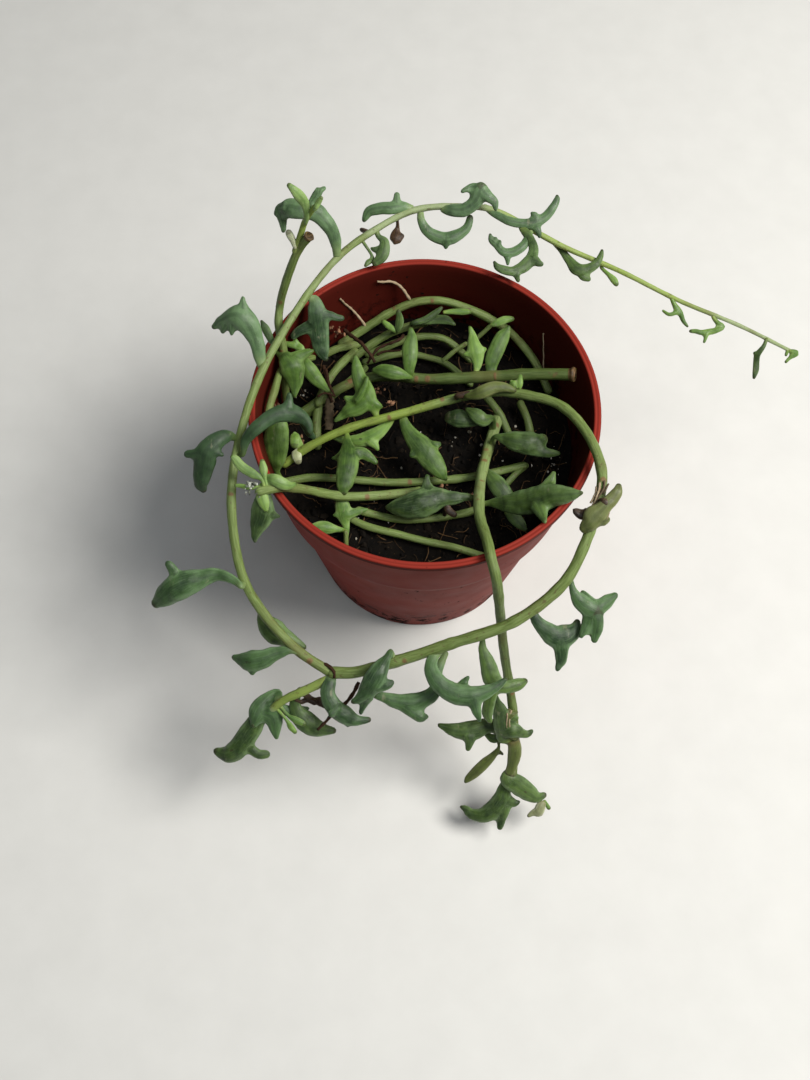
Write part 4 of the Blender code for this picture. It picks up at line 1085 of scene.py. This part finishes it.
def thread_parts(path, radius_start, radius_end, sides, spacing, tint):
    """Points, faces and tint of a thin uneven thread along a path."""
    count = max(3, round(path_length(path) / spacing))
    centres = smooth_path(path, count)
    for i, centre in enumerate(centres):
        at = centre / THREAD_WANDER_LENGTH
        centres[i] = centre + THREAD_WANDER * np.array([wander(*(at + shift)) for shift in (0, 40, 80)])
    shares = np.linspace(0, 1, count + 1)
    radii = radius_start + (radius_end - radius_start) * shares
    radii = radii * (1 + THREAD_KNOT * np.sin(shares * THREAD_KNOT_TURN + tint * 9))
    rings = tube_points(centres, radii, sides)
    return rings.reshape(-1, 3), skin(count + 1, sides), tint


def fibre_path(chance):
    """A wavering line over the soil, which ends early where it meets the wall."""
    x, y, _ = spread_on_soil(chance)
    length = chance.uniform(*FIBRE_LENGTHS)
    angle = chance.uniform(0, 2 * math.pi)
    path = []
    for step in range(FIBRE_POINTS):
        along = length * (step / (FIBRE_POINTS - 1) - 0.5)
        px = x + along * math.cos(angle) + chance.uniform(-FIBRE_SWAY, FIBRE_SWAY)
        py = y + along * math.sin(angle) + chance.uniform(-FIBRE_SWAY, FIBRE_SWAY)
        if math.hypot(px, py) > inner_radius(SOIL_TOP) - FIBRE_CLEARANCE:
            break
        path.append((px, py, soil_height(px, py) + chance.uniform(*FIBRE_LIFT)))
    return path


def make_fibres(look):
    chance = seeded("fibres")
    parts = []
    for _ in range(FIBRE_COUNT):
        path = fibre_path(chance)
        if len(path) < 3:
            continue
        radius = chance.uniform(*FIBRE_RADII)
        end_radius = radius * FIBRE_TAPER
        parts.append(thread_parts(path, radius, end_radius, FIBRE_SIDES, FIBRE_RING, chance.random()))
    vertices, faces, tints = gather(parts)
    return add_mesh("soil_fibres", vertices, faces, {"tint": tints}, look)


# Stems

def stem_line(stem):
    """Evenly spaced points along the middle of a stem."""
    return smooth_path(stem.path, max(STEM_LEAST_RINGS, round(path_length(stem.path) / STEM_RING)))


def stem_radius(stem, share):
    return stem.radius_start + (stem.radius_end - stem.radius_start) * share


def end_rings(centres, radii, cut):
    """Further rings beyond the last one: a rounded end, or a callus ring round a small hollow."""
    ahead = unit(centres[-1] - centres[-2])
    steps = CUT_END if cut else ROUND_END
    places = [centres[-1] + ahead * radii[-1] * forward for forward, _ in steps]
    return np.array(places), np.array([radii[-1] * size for _, size in steps])


def stem_radii(stem, shares, length, leaf_nodes, chance):
    """Radii along a stem, swollen at the leaves' nodes and at further ones, and slightly uneven."""
    run = shares * length
    nodes = list(leaf_nodes)
    at = chance.uniform(NODE_FIRST, NODE_SPACING)
    while at < length:
        nodes.append(at)
        at += NODE_SPACING * chance.uniform(*NODE_SPACING_RANGE)
    swell = np.zeros_like(run)
    for node in nodes:
        swell = np.maximum(swell, bump(run, node, NODE_LENGTH * (0.8 + 0.5 * chance.random())))
    radii = stem_radius(stem, shares) * (1 + NODE_SWELL * swell)
    shift = seeded(stem.name + "_shift").uniform(0, 50)
    return radii * [1 + STEM_UNEVEN * wander(place / STEM_UNEVEN_LENGTH, shift) for place in run]


def roughen(rings, centres, run):
    """Gives the rings of a stem low ridges and a slightly uneven skin."""
    for ring, place in enumerate(run):
        for i, turn in enumerate(circle(STEM_SIDES)):
            ridge = STEM_RIDGE_HEIGHT * math.sin(STEM_RIDGES * turn + place / STEM_RIDGE_TWIST)
            lump_height = STEM_LUMP_HEIGHT * wander(
                2 * math.cos(turn), 2 * math.sin(turn), place / STEM_LUMP_LENGTH)
            rings[ring, i] += (rings[ring, i] - centres[ring]) * (ridge + lump_height)


def scar_mask(stem, rings, centres, run, chance):
    """How scarred each point of a stem's skin is, from 0 to 1."""
    scar = np.zeros(rings.shape[:2])
    for share in SCARS.get(stem.name, ()):
        along = bump(run, share * run[-1], SCAR_HALF_LENGTH * chance.uniform(*SCAR_RANGE))
        middle = unit(np.array(LEAF_FACE) + [chance.uniform(*SCAR_TURN), chance.uniform(*SCAR_TURN), 0])
        apart = 1 - (unit(rings - centres[:, None, :]) * middle).sum(axis=2)
        scar = np.maximum(scar, along[:, None] * bump(apart, 0, SCAR_SPREAD))
    if stem.name in CUT_ENDS:
        scar[-len(CUT_END) - 1:] = 1
    if stem.name in CUT_STARTS:
        scar[:len(CUT_END) + 1] = 1
    return scar


def make_stem(stem, line, leaf_nodes, look):
    """A fleshy stem: swollen nodes with brown scars, slightly uneven skin and rounded or cut ends."""
    chance = seeded(stem.name)
    length = path_length(line)
    shares = np.linspace(0, 1, len(line))
    radii = stem_radii(stem, shares, length, leaf_nodes, chance)
    last, last_radii = end_rings(line, radii, stem.name in CUT_ENDS)
    first, first_radii = end_rings(line[::-1], radii[::-1], stem.name in CUT_STARTS)
    centres = np.vstack([first[::-1], line, last])
    radii = np.concatenate([first_radii[::-1], radii, last_radii])
    run = np.concatenate([np.zeros(len(first)), shares * length, np.full(len(last), length)])
    rings = tube_points(centres, radii, STEM_SIDES)
    roughen(rings, centres, run)
    shares = run / length
    low, high = FRESH_LENGTHS.get(stem.name, NEVER_FRESH)
    fresh = np.clip((shares - low) / FRESH_EDGE, 0, 1) * np.clip((high - shares) / FRESH_EDGE, 0, 1)
    tones = np.broadcast_to(STEM_TONES.get(stem.name, STEM_TONE), 2)
    turns = circle(STEM_SIDES)
    values = {
        "run": np.repeat(run, STEM_SIDES),
        "turn_x": np.tile(np.cos(turns), len(rings)),
        "turn_y": np.tile(np.sin(turns), len(rings)),
        "scar": scar_mask(stem, rings, centres, run, chance).ravel(),
        "pale": np.repeat(np.interp(shares, STEM_TONE_SHARES, tones), STEM_SIDES),
        "fresh": np.repeat(fresh, STEM_SIDES),
    }
    faces = skin(len(rings), STEM_SIDES)
    return add_mesh(stem.name + "_skin", rings.reshape(-1, 3), faces, values, look)


# Leaves

def leaf_node(leaf, lines):
    """The stem nearest to a leaf's foot: its name and the row of its line, or no name if none is near."""
    foot = np.array(leaf.limbs[0][0][:3], float)
    found, least = (None, 0), FOOT_REACH
    for name, line in lines.items():
        gaps = np.linalg.norm(line - foot, axis=1)
        row = int(gaps.argmin())
        if gaps[row] < least:
            found, least = (name, row), gaps[row]
    return found


def with_foot(leaf, stems, lines):
    """The leaf's limbs, with the body carried back into the stem that it grows from."""
    name, row = leaf_node(leaf, lines)
    if name is None:
        return leaf.limbs
    body = leaf.limbs[0]
    start = np.array(body[0][:3], float)
    centre = lines[name][row]
    radius = stem_radius(stems[name], row / (len(lines[name]) - 1))
    root = centre + unit(start - centre) * FOOT_DEPTH * radius
    if np.linalg.norm(start - root) < FOOT_LEAST:
        return leaf.limbs
    foot = (*root, min(body[0][3], FOOT_WIDTH * radius))
    return ((foot, *body), *leaf.limbs[1:])


def limb_frame(limb):
    """Rows (x, y, z, half width) along a limb, with its unit vectors ahead, across and up at each row."""
    rows = smooth_path(limb, max(LIMB_LEAST_RINGS, round(path_length(limb) / LIMB_RING)))
    ahead = directions(rows[:, :3])
    across = []
    for direction in ahead:
        level = np.cross(LEAF_FACE, direction)
        if across:
            level = level + LIMB_STEADY * across[-1]
        across.append(unit(level - level.dot(direction) * direction))
    across = np.array(across)
    return rows, ahead, across, np.cross(ahead, across)


def limb_shell(frame):
    """Rings of a flattened tube round a limb, with a rounded nose."""
    rows, ahead, across, upward = frame
    turns = circle(LEAF_SIDES)
    half_widths = rows[:, 3] * LIMB_SPREAD + LIMB_EXTRA
    half_heights = np.maximum(half_widths * LEAF_THICKNESS, np.minimum(half_widths, LEAF_LEAST_HEIGHT))
    wide = np.cos(turns)[None, :, None] * (half_widths[:, None] * across)[:, None, :]
    high = np.sin(turns)[None, :, None] * (half_heights[:, None] * upward)[:, None, :]
    rings = list(rows[:, None, :3] + wide + high)
    last_ring, tip = rings[-1], rows[-1, :3]
    for forward, size in ROUND_END:
        rings.append(tip + ahead[-1] * forward * half_widths[-1] + (last_ring - tip) * size)
    return np.array(rings)


def fused(name, shells, voxel):
    """One smooth closed mesh, in millimetres, round overlapping shells of rings, webbed in the corners."""
    vertices, faces = [], []
    for rings in shells:
        faces += skin(len(rings), LEAF_SIDES, len(vertices))
        vertices += [tuple(point) for point in rings.reshape(-1, 3)]
    mesh = bpy.data.meshes.new(name)
    mesh.from_pydata(vertices, [], faces)
    obj = add_object(name, mesh)
    recalculate(obj)
    for push in (WEB, -WEB, 0):
        remesh = obj.modifiers.new("fuse", "REMESH")
        remesh.mode = "VOXEL"
        remesh.voxel_size = voxel
        if push:
            offset = obj.modifiers.new("offset", "DISPLACE")
            offset.mid_level = 0
            offset.strength = push
    soften = obj.modifiers.new("soften", "SMOOTH")
    soften.factor = SMOOTH_FACTOR
    soften.iterations = SMOOTH_ROUNDS
    whole = evaluated_mesh(obj)
    bpy.data.objects.remove(obj)
    count = len(whole.vertices)
    points, normals = np.empty(count * 3, np.float32), np.empty(count * 3, np.float32)
    whole.vertices.foreach_get("co", points)
    whole.vertices.foreach_get("normal", normals)
    faces = [tuple(face.vertices) for face in whole.polygons]
    bpy.data.meshes.remove(whole)
    return points.reshape(-1, 3).astype(float), normals.reshape(-1, 3).astype(float), faces


def limb_places(points, frames):
    """For each skin point: share along the body, share along a fin, and its place across and up."""
    body = frames[0][0]
    shares, fins = [], []
    for number, (limb, *_) in enumerate(frames):
        steps = np.linspace(0, 1, len(limb))
        root = np.linalg.norm(body[:, :3] - limb[0, :3], axis=1).argmin() / (len(body) - 1)
        shares.append(steps if number == 0 else np.full(len(limb), root))
        fins.append(np.zeros(len(limb)) if number == 0 else steps)
    rows, _, across, upward = (np.vstack(column) for column in zip(*frames))
    gaps = np.linalg.norm(points[:, None, :] - rows[None, :, :3], axis=2) / rows[None, :, 3]
    nearest = gaps.argmin(axis=1)
    offset = points - rows[nearest, :3]
    sideways = (offset * across[nearest]).sum(axis=1)
    upright = (offset * upward[nearest]).sum(axis=1)
    return np.concatenate(shares)[nearest], np.concatenate(fins)[nearest], sideways, upright


def make_leaf(leaf, stems, lines, look):
    """A thick rounded leaf whose limbs are fused into one skin."""
    chance = seeded(leaf.name)
    frames = [limb_frame(limb) for limb in with_foot(leaf, stems, lines)]
    widest = 2 * max(frame[0][:, 3].max() for frame in frames)
    voxel = min(max(widest * VOXEL_SHARE, VOXEL_LEAST), VOXEL_MOST)
    points, normals, faces = fused(leaf.name, [limb_shell(frame) for frame in frames], voxel)
    share, fin, sideways, upright = limb_places(points, frames)
    radius = np.maximum(np.hypot(sideways, upright), 1e-6)
    shift = chance.uniform(0, 90)
    for point, normal in zip(points, normals):
        uneven = wander(*(point / SKIN_WAVE_LENGTH + (shift, 0, 0)))
        fine = wander(*(point / SKIN_GRAIN_LENGTH + (0, shift, 0)))
        point += normal * (SKIN_WAVE * uneven + SKIN_GRAIN * fine) * widest
    values = {
        "share": share,
        "fin": fin,
        "edge": np.abs(sideways) / radius,
        "lane": sideways / radius,
        "upper": upright / radius,
        "run": share * path_length(frames[0][0]) + fin * FIN_RUN,
        "tint": np.full(len(points), chance.random()),
    }
    return add_mesh(leaf.name + "_skin", points, faces, values, look)


# Materials

def linear(red, green, blue):
    """A linear colour from 0-255 display values."""
    values = []
    for value in (red, green, blue):
        part = value / 255
        values.append(part / 12.92 if part <= 0.04045 else ((part + 0.055) / 1.055) ** 2.4)
    return (*values, 1.0)


FLOOR_SHADE = linear(196, 196, 192)
FLOOR_LIGHT = linear(206, 206, 202)
POT_RED = linear(127, 44, 33)
POT_DEEP = linear(109, 36, 27)
POT_LIP = linear(132, 46, 36)
# Dark red for the pot's inner wall, painted shade inside the pot.
POT_INSIDE_SHADE = linear(55, 17, 12)
# A greyish film colour: partly real dust, partly a painted sheen.
POT_DUST_SHEEN = linear(112, 78, 66)
POT_DIRT = linear(22, 14, 11)
SOIL_DARK = linear(7, 6, 5)
SOIL_BROWN = linear(19, 15, 10)
SOIL_FLECK = linear(76, 60, 40)
STEM_DARK = linear(64, 80, 32)
STEM_GREEN = linear(92, 110, 50)
STEM_LIGHT = linear(122, 140, 82)
STEM_PALE = linear(152, 164, 128)
STEM_OLIVE = linear(92, 92, 46)
STEM_BROWN = linear(78, 58, 34)
STEM_SCAR = linear(108, 78, 48)
STEM_FRESH = linear(128, 148, 58)
STEM_CORK = linear(34, 22, 15)
LEAF_SCAR = linear(46, 35, 21)
LEAF_SCUFF = linear(128, 126, 100)

# Each tone of leaf: its slot, then the colours of its body, its shade, its bloom and its foot.
LEAF_TONES = {
    "blue": ("leaf_blue", (65, 92, 52), (27, 46, 26), (106, 133, 95), (128, 146, 92)),
    # The next tone is the blue one made darker: painted shade for blue leaves that lie in shade.
    "deep": ("leaf_blue", (43, 64, 37), (18, 33, 20), (64, 88, 58), (92, 110, 56)),
    "green": ("leaf_green", (77, 100, 46), (29, 46, 21), (104, 128, 84), (106, 120, 58)),
    "fresh": ("leaf_green", (78, 106, 43), (33, 54, 21), (112, 138, 76), (112, 130, 56)),
    "young": ("leaf_young", (106, 136, 60), (62, 92, 38), (136, 160, 100), (130, 144, 72)),
    "dry": ("leaf_dry", (80, 92, 41), (50, 56, 26), (116, 120, 78), (86, 76, 42)),
    "pale": ("leaf_young", (152, 160, 118), (108, 112, 76), (186, 190, 160), (132, 130, 92)),
    "dead": ("leaf_dry", (62, 44, 30), (18, 13, 9), (92, 74, 54), (28, 20, 14)),
}

# Each dry material: dark colour, light colour, scale of its grain and roughness.
GRAINS = {
    "aerial_root": ((120, 100, 74), (176, 162, 136), 500.0, 0.7),
    "dead_husk": ((44, 35, 27), (128, 112, 88), 420.0, 0.85),
    "dead_bark": ((22, 15, 11), (72, 48, 32), 500.0, 0.8),
    "soil_crumb": ((5, 4, 3), (22, 17, 11), 420.0, 0.95),
    "soil_fibre": ((20, 15, 10), (92, 70, 46), 420.0, 0.9),
    "dried_flake": ((46, 28, 20), (142, 106, 80), 500.0, 0.85),
    "white_wool": ((92, 96, 84), (178, 182, 168), 700.0, 0.95),
    "soil_grit": ((104, 98, 84), (200, 196, 184), 420.0, 0.8),
}

# How far light travels under a succulent's skin, in metres.
FLESH_DEPTH = 0.0012


class Look:
    """A node material. Its colour is painted in layers, over object-space position and mesh values."""

    def __init__(self, name, roughness):
        self.material = bpy.data.materials.new(name)
        self.material.use_nodes = True
        self.tree = self.material.node_tree
        self.shader = self.tree.nodes["Principled BSDF"]
        self.set("Roughness", roughness)
        self.place = self.node("ShaderNodeTexCoord", {}).outputs["Object"]
        split = self.node("ShaderNodeSeparateXYZ", {"Vector": self.place})
        self.height = split.outputs["Z"]
        self.colour = None

    def feed(self, socket, value):
        """Links a socket to another node's output, or sets it to a number or a colour."""
        if isinstance(value, bpy.types.NodeSocket):
            self.tree.links.new(value, socket)
        else:
            socket.default_value = value

    def node(self, kind, inputs, **settings):
        """A new node with these settings. Its inputs are given by name or number."""
        node = self.tree.nodes.new(kind)
        for key, value in settings.items():
            setattr(node, key, value)
        for key, value in inputs.items():
            self.feed(node.inputs[key], value)
        return node

    def set(self, key, value):
        self.feed(self.shader.inputs[key], value)

    def attribute(self, name):
        return self.node("ShaderNodeAttribute", {}, attribute_name=name).outputs["Fac"]

    def noise(self, scale, detail=4.0, roughness=0.55, place=None):
        inputs = {"Vector": place or self.place, "Scale": scale, "Detail": detail, "Roughness": roughness}
        return self.node("ShaderNodeTexNoise", inputs).outputs["Fac"]

    def step(self, value, low, high, start=0.0, end=1.0):
        """Maps a value from low-high to start-end, smoothly and held at both ends."""
        inputs = {"Value": value, "From Min": low, "From Max": high, "To Min": start, "To Max": end}
        return self.node("ShaderNodeMapRange", inputs, interpolation_type="SMOOTHSTEP").outputs["Result"]

    def patches(self, scale, detail, roughness, low, high):
        """A mask of noise patches that starts at low and is full at high."""
        return self.step(self.noise(scale, detail, roughness), low, high)

    def calculate(self, operation, first, second):
        return self.node("ShaderNodeMath", {0: first, 1: second}, operation=operation).outputs[0]

    def times(self, first, *others):
        for other in others:
            first = self.calculate("MULTIPLY", first, other)
        return first

    def plus(self, first, second):
        return self.calculate("ADD", first, second)

    def most(self, first, second):
        return self.calculate("MAXIMUM", first, second)

    def blend(self, factor, first, second):
        """Mixes two colours, each a fixed colour or another node's output."""
        node = self.node("ShaderNodeMix", {}, data_type="RGBA")
        sockets = {socket.identifier: socket for socket in node.inputs}
        for key, value in (("Factor_Float", factor), ("A_Color", first), ("B_Color", second)):
            self.feed(sockets[key], value)
        return next(socket for socket in node.outputs if socket.identifier == "Result_Color")

    def paint(self, mask, colour):
        """Lays a colour over what is painted so far, where the mask is high."""
        self.colour = self.blend(mask, self.colour, colour)

    def stretched(self, scale):
        return self.node("ShaderNodeMapping", {"Vector": self.place, "Scale": scale}).outputs["Vector"]

    def joined(self, x, y, z):
        return self.node("ShaderNodeCombineXYZ", {"X": x, "Y": y, "Z": z}).outputs["Vector"]

    def flesh(self, specular, weight, radius):
        """The soft skin of a succulent: a little light goes in and comes out nearby."""
        self.set("Specular IOR Level", specular)
        self.set("Subsurface Weight", weight)
        self.set("Subsurface Radius", radius)
        self.set("Subsurface Scale", FLESH_DEPTH)

    def finish(self, relief, strength, distance):
        """Sets the painted colour and a bump from the relief, and gives the material."""
        self.set("Base Color", self.colour)
        inputs = {"Strength": strength, "Distance": distance, "Height": relief}
        self.set("Normal", self.node("ShaderNodeBump", inputs).outputs["Normal"])
        return self.material


def pot_material():
    look = Look("pot_plastic", 0.42)
    look.set("Specular IOR Level", 0.04)
    look.colour = look.blend(look.patches(38.0, 5.0, 0.55, 0.2, 0.8), POT_DEEP, POT_RED)
    look.paint(look.times(look.step(look.height, 0.1045, 0.1062), 0.85), POT_LIP)
    # Painted shade: the inner wall, up to just under the top of the lip, is painted darker.
    inside = look.times(look.attribute("inside"), look.step(look.height, 0.1081, 0.1073))
    look.paint(look.times(inside, 0.85), POT_INSIDE_SHADE)
    # Dark patches on the inner wall, thicker towards the soil.
    low_inner_dark = look.times(look.patches(260.0, 6.0, 0.7, 0.47, 0.62), look.step(look.height, 0.098, 0.082))
    look.paint(look.times(low_inner_dark, inside), SOIL_DARK)
    # A faint greyish film, heavier lower on the pot: partly real dust, partly a painted sheen.
    dust_and_sheen = look.times(look.patches(32.0, 7.0, 0.65, 0.45, 0.7), look.step(look.height, 0.100, 0.05), 0.07)
    look.paint(dust_and_sheen, POT_DUST_SHEEN)
    spots = look.times(look.patches(420.0, 3.0, 0.6, 0.655, 0.70), look.patches(30.0, 2.0, 0.55, 0.42, 0.6))
    crust = look.times(look.patches(210.0, 6.0, 0.72, 0.48, 0.58), look.step(look.height, 0.028, 0.007))
    dirt = look.most(spots, crust)
    look.paint(dirt, POT_DIRT)
    rough = look.step(look.noise(90.0, 6.0), 0.3, 0.7, 0.44, 0.52)
    look.set("Roughness", look.most(rough, look.times(dirt, 0.9)))
    scratches = look.noise(1.0, 3.0, place=look.stretched((60.0, 60.0, 1100.0)))
    return look.finish(look.plus(look.times(scratches, 0.35), dirt), 0.2, 0.0003)


def soil_material():
    look = Look("potting_mix", 0.95)
    look.set("Specular IOR Level", 0.1)
    look.colour = look.blend(look.patches(260.0, 8.0, 0.7, 0.35, 0.7), SOIL_DARK, SOIL_BROWN)
    look.paint(look.times(look.patches(900.0, 2.0, 0.55, 0.66, 0.74), 0.6), SOIL_FLECK)
    return look.finish(look.noise(700.0, 8.0, 0.75), 0.9, 0.0012)


def grain_material(name, dark, light, grain, roughness):
    """A dry material whose lumps differ in shade by their tint, with fine grain."""
    look = Look(name, roughness)
    look.set("Specular IOR Level", 0.12)
    mottle = look.noise(grain, 6.0, 0.65)
    share = look.plus(look.times(look.attribute("tint"), 0.7), look.times(mottle, 0.5))
    look.colour = look.blend(look.step(share, 0.25, 1.0), dark, light)
    look.paint(look.times(look.patches(grain * 2.5, 3.0, 0.55, 0.6, 0.72), 0.6), SOIL_DARK)
    return look.finish(mottle, 0.6, 0.0004)


def stem_material():
    """Skin from dark green to milky, with streaks along it, fresh lengths, freckles and corky scars."""
    look = Look("stem", 0.5)
    pale = look.attribute("pale")
    along = look.joined(
        look.times(look.attribute("turn_x"), 2.2), look.times(look.attribute("turn_y"), 2.2),
        look.times(look.attribute("run"), 0.09))
    streaks = look.noise(2.2, 5.0, 0.6, along)
    look.colour = look.blend(look.step(pale, 0.0, 0.6), STEM_DARK, STEM_GREEN)
    look.paint(look.times(look.step(streaks, 0.32, 0.68), look.step(pale, -0.1, 0.7, 0.25, 1.0)), STEM_LIGHT)
    milk = look.patches(45.0, 4.0, 0.55, 0.32, 0.56)
    look.paint(look.times(milk, look.step(pale, 0.4, 0.8, 0.0, 0.75)), STEM_PALE)
    yellow = look.step(streaks, 0.25, 0.6, 0.35, 0.8)
    look.paint(look.times(look.attribute("fresh"), yellow), STEM_FRESH)
    clouds = look.noise(70.0)
    look.paint(look.step(clouds, 0.5, 0.72, 0.0, 0.6), STEM_OLIVE)
    look.paint(look.times(look.patches(650.0, 4.0, 0.6, 0.60, 0.68), 0.6), STEM_BROWN)
    ragged = look.plus(look.attribute("scar"), look.times(look.noise(420.0, 5.0), 0.6))
    brown = look.step(ragged, 0.8, 1.15)
    look.paint(look.times(brown, 0.85), STEM_SCAR)
    look.paint(look.times(look.step(ragged, 1.22, 1.4), 0.7), STEM_CORK)
    look.flesh(0.35, 0.10, (0.6, 1.0, 0.3))
    look.set("Roughness", look.step(clouds, 0.3, 0.7, 0.45, 0.65))
    wrinkles = look.noise(9.0, 6.0, 0.6, along)
    return look.finish(look.plus(wrinkles, look.times(brown, 0.6)), 0.4, 0.0004)


def leaf_material(name, body, shade, bloom, foot):
    """Succulent skin: mottled and finely streaked green, pale edges and bloom, paler on higher leaves partly
    as painted light, dark line and specks.
    """
    look = Look(name, 0.42)
    share, upper, edge = (look.attribute(key) for key in ("share", "upper", "edge"))
    clouds = look.noise(210.0, 6.0, 0.6)
    mixed = look.plus(look.times(look.attribute("tint"), 0.3), clouds)
    look.colour = look.blend(look.step(mixed, 0.36, 0.86), shade, body)
    along = look.joined(
        look.times(look.attribute("lane"), 1.5), look.times(upper, 1.5),
        look.times(look.attribute("run"), 0.07))
    streaks = look.step(look.noise(4.2, 6.0, 0.65, along), 0.44, 0.66)
    look.paint(look.times(streaks, 0.26), bloom)
    frost = look.times(look.step(edge, 0.72, 0.99), look.step(clouds, 0.3, 0.6, 0.35, 1.0))
    look.paint(look.times(frost, 0.65), bloom)
    # Higher leaves are painted paler: partly real bloom, partly painted light, as they stand in more light.
    powder_and_light = look.step(look.height, 0.106, 0.124, 0.0, 0.62)
    look.paint(look.times(powder_and_light, look.step(clouds, 0.3, 0.6, 0.5, 1.0)), bloom)
    line = look.times(look.step(edge, 0.5, 0.1), look.step(upper, 0.2, 0.9), look.step(share, 0.12, 0.35))
    look.paint(look.times(line, 0.4), shade)
    look.paint(look.times(look.step(share, 0.2, 0.02), 0.7), foot)
    specks = look.patches(1100.0, 3.0, 0.55, 0.66, 0.72)
    specks = look.times(specks, look.patches(120.0, 2.0, 0.55, 0.4, 0.62), 0.65)
    marks = look.most(specks, look.times(look.patches(240.0, 3.0, 0.7, 0.69, 0.74), 0.7))
    nose = look.times(look.step(share, 0.97, 1.0), look.step(look.attribute("fin"), 0.05, 0.0))
    look.paint(look.most(marks, look.times(nose, 0.5)), LEAF_SCAR)
    scuffs = look.noise(1.0, 5.0, place=look.stretched((500.0, 160.0, 260.0)))
    look.paint(look.times(look.step(scuffs, 0.64, 0.72), 0.4), LEAF_SCUFF)
    look.flesh(0.3, 0.14, (0.5, 1.0, 0.25))
    look.set("Roughness", look.step(look.noise(260.0, 5.0), 0.3, 0.7, 0.36, 0.6))
    relief = look.plus(look.noise(520.0, 6.0, 0.6), look.times(look.noise(190.0, 2.0), 1.4))
    return look.finish(look.plus(relief, look.times(streaks, 0.25)), 0.3, 0.0004)


def floor_material():
    look = Look("floor", 0.85)
    look.set("Base Color", look.blend(look.noise(60.0), FLOOR_SHADE, FLOOR_LIGHT))
    return look.material


# The whole plant

def build_pot_and_soil(grains):
    place_piece(make_pot(pot_material()), "pot_plastic", "pot")
    place_piece(make_soil(soil_material()), "potting_mix", "soil")
    place_piece(make_crumbs(grains["soil_crumb"]), "potting_mix")
    place_piece(make_fibres(grains["soil_fibre"]), "potting_mix")
    flakes = make_patches("dried_flakes", "dried_flakes", FLAKE_PATCHES, FLAKE_SIZES, grains["dried_flake"])
    place_piece(flakes, "potting_mix")
    wool = make_patches("tip_wool", "tip_wool", WOOL_PATCHES, FLAKE_SIZES, grains["white_wool"])
    place_piece(wool, "leaf_young")
    grit = make_patches("soil_grit", "grit", GRIT_PATCHES, GRIT_SIZES, grains["soil_grit"])
    place_piece(grit, "potting_mix")


def build_stems(stems, lines):
    nodes = {name: [] for name in stems}
    for leaf in LEAVES:
        name, row = leaf_node(leaf, lines)
        if name:
            nodes[name].append(row / (len(lines[name]) - 1) * path_length(lines[name]))
    look = stem_material()
    for name, stem in stems.items():
        place_piece(make_stem(stem, lines[name], nodes[name], look), "stem", name if stem in STEMS else None)


def build_leaves(stems, lines):
    looks = {}
    for tone, (_, *colours) in LEAF_TONES.items():
        looks[tone] = leaf_material("leaf_" + tone, *(linear(*colour) for colour in colours))
    for leaf in LEAVES:
        piece = make_leaf(leaf, stems, lines, looks[leaf.tone])
        place_piece(piece, LEAF_TONES[leaf.tone][0], leaf.name if leaf.name.startswith("leaf_") else None)


def build_threads(grains):
    for tone, thread in THREADS:
        points, faces, tint = thread_parts(
            thread.path, thread.radius_start, thread.radius_end, THREAD_SIDES, THREAD_RING, THREAD_TINT)
        piece = add_mesh(thread.name, points, faces, {"tint": [tint] * len(points)}, grains[tone])
        place_piece(piece, "potting_mix")


# The studio

def add_area_light(name, place, power, colour):
    light = bpy.data.lights.new(name, "AREA")
    light.shape = "DISK"
    light.size = LIGHT_SIZE
    light.energy = power
    light.color = colour
    obj = add_object(name, light)
    obj.location = place
    obj.rotation_euler = (Vector(LIGHT_TARGET) - Vector(place)).to_track_quat("-Z", "Y").to_euler()


def build_studio():
    corners = [(-FLOOR_REACH, -FLOOR_REACH, 0), (FLOOR_REACH, -FLOOR_REACH, 0),
               (FLOOR_REACH, FLOOR_REACH, 0), (-FLOOR_REACH, FLOOR_REACH, 0)]
    floor = add_mesh("floor", corners, [(0, 1, 2, 3)], {}, floor_material())
    add_area_light("key", KEY_PLACE, KEY_POWER, KEY_COLOUR)
    add_area_light("top", TOP_PLACE, TOP_POWER, TOP_COLOUR)
    bpy.context.scene.view_settings.view_transform = "Standard"
    world = bpy.data.worlds.new("studio")
    world.use_nodes = True
    background = world.node_tree.nodes["Background"]
    background.inputs["Color"].default_value = SKY_COLOUR
    background.inputs["Strength"].default_value = SKY_STRENGTH
    bpy.context.scene.world = world


def add_camera():
    data = bpy.data.cameras.new("camera")
    data.lens = CAMERA_LENS
    data.sensor_width = CAMERA_SENSOR
    camera = add_object("camera", data)
    tilt = math.radians(90) - CAMERA_PITCH
    camera.matrix_world = (
        Matrix.Translation(Vector(CAMERA_PLACE) * MM) @ Matrix.Rotation(tilt, 4, "X")
        @ Matrix.Rotation(CAMERA_ROLL, 4, "Z"))
    bpy.context.scene.camera = camera


all_stems = {stem.name: stem for stem in STEMS + SMALL_STEMS}
stem_lines = {name: stem_line(stem) for name, stem in all_stems.items()}
grain_looks = {
    name: grain_material(name, linear(*dark), linear(*light), grain, roughness)
    for name, (dark, light, grain, roughness) in GRAINS.items()}
build_pot_and_soil(grain_looks)
build_stems(all_stems, stem_lines)
build_leaves(all_stems, stem_lines)
build_threads(grain_looks)
build_studio()
add_camera()
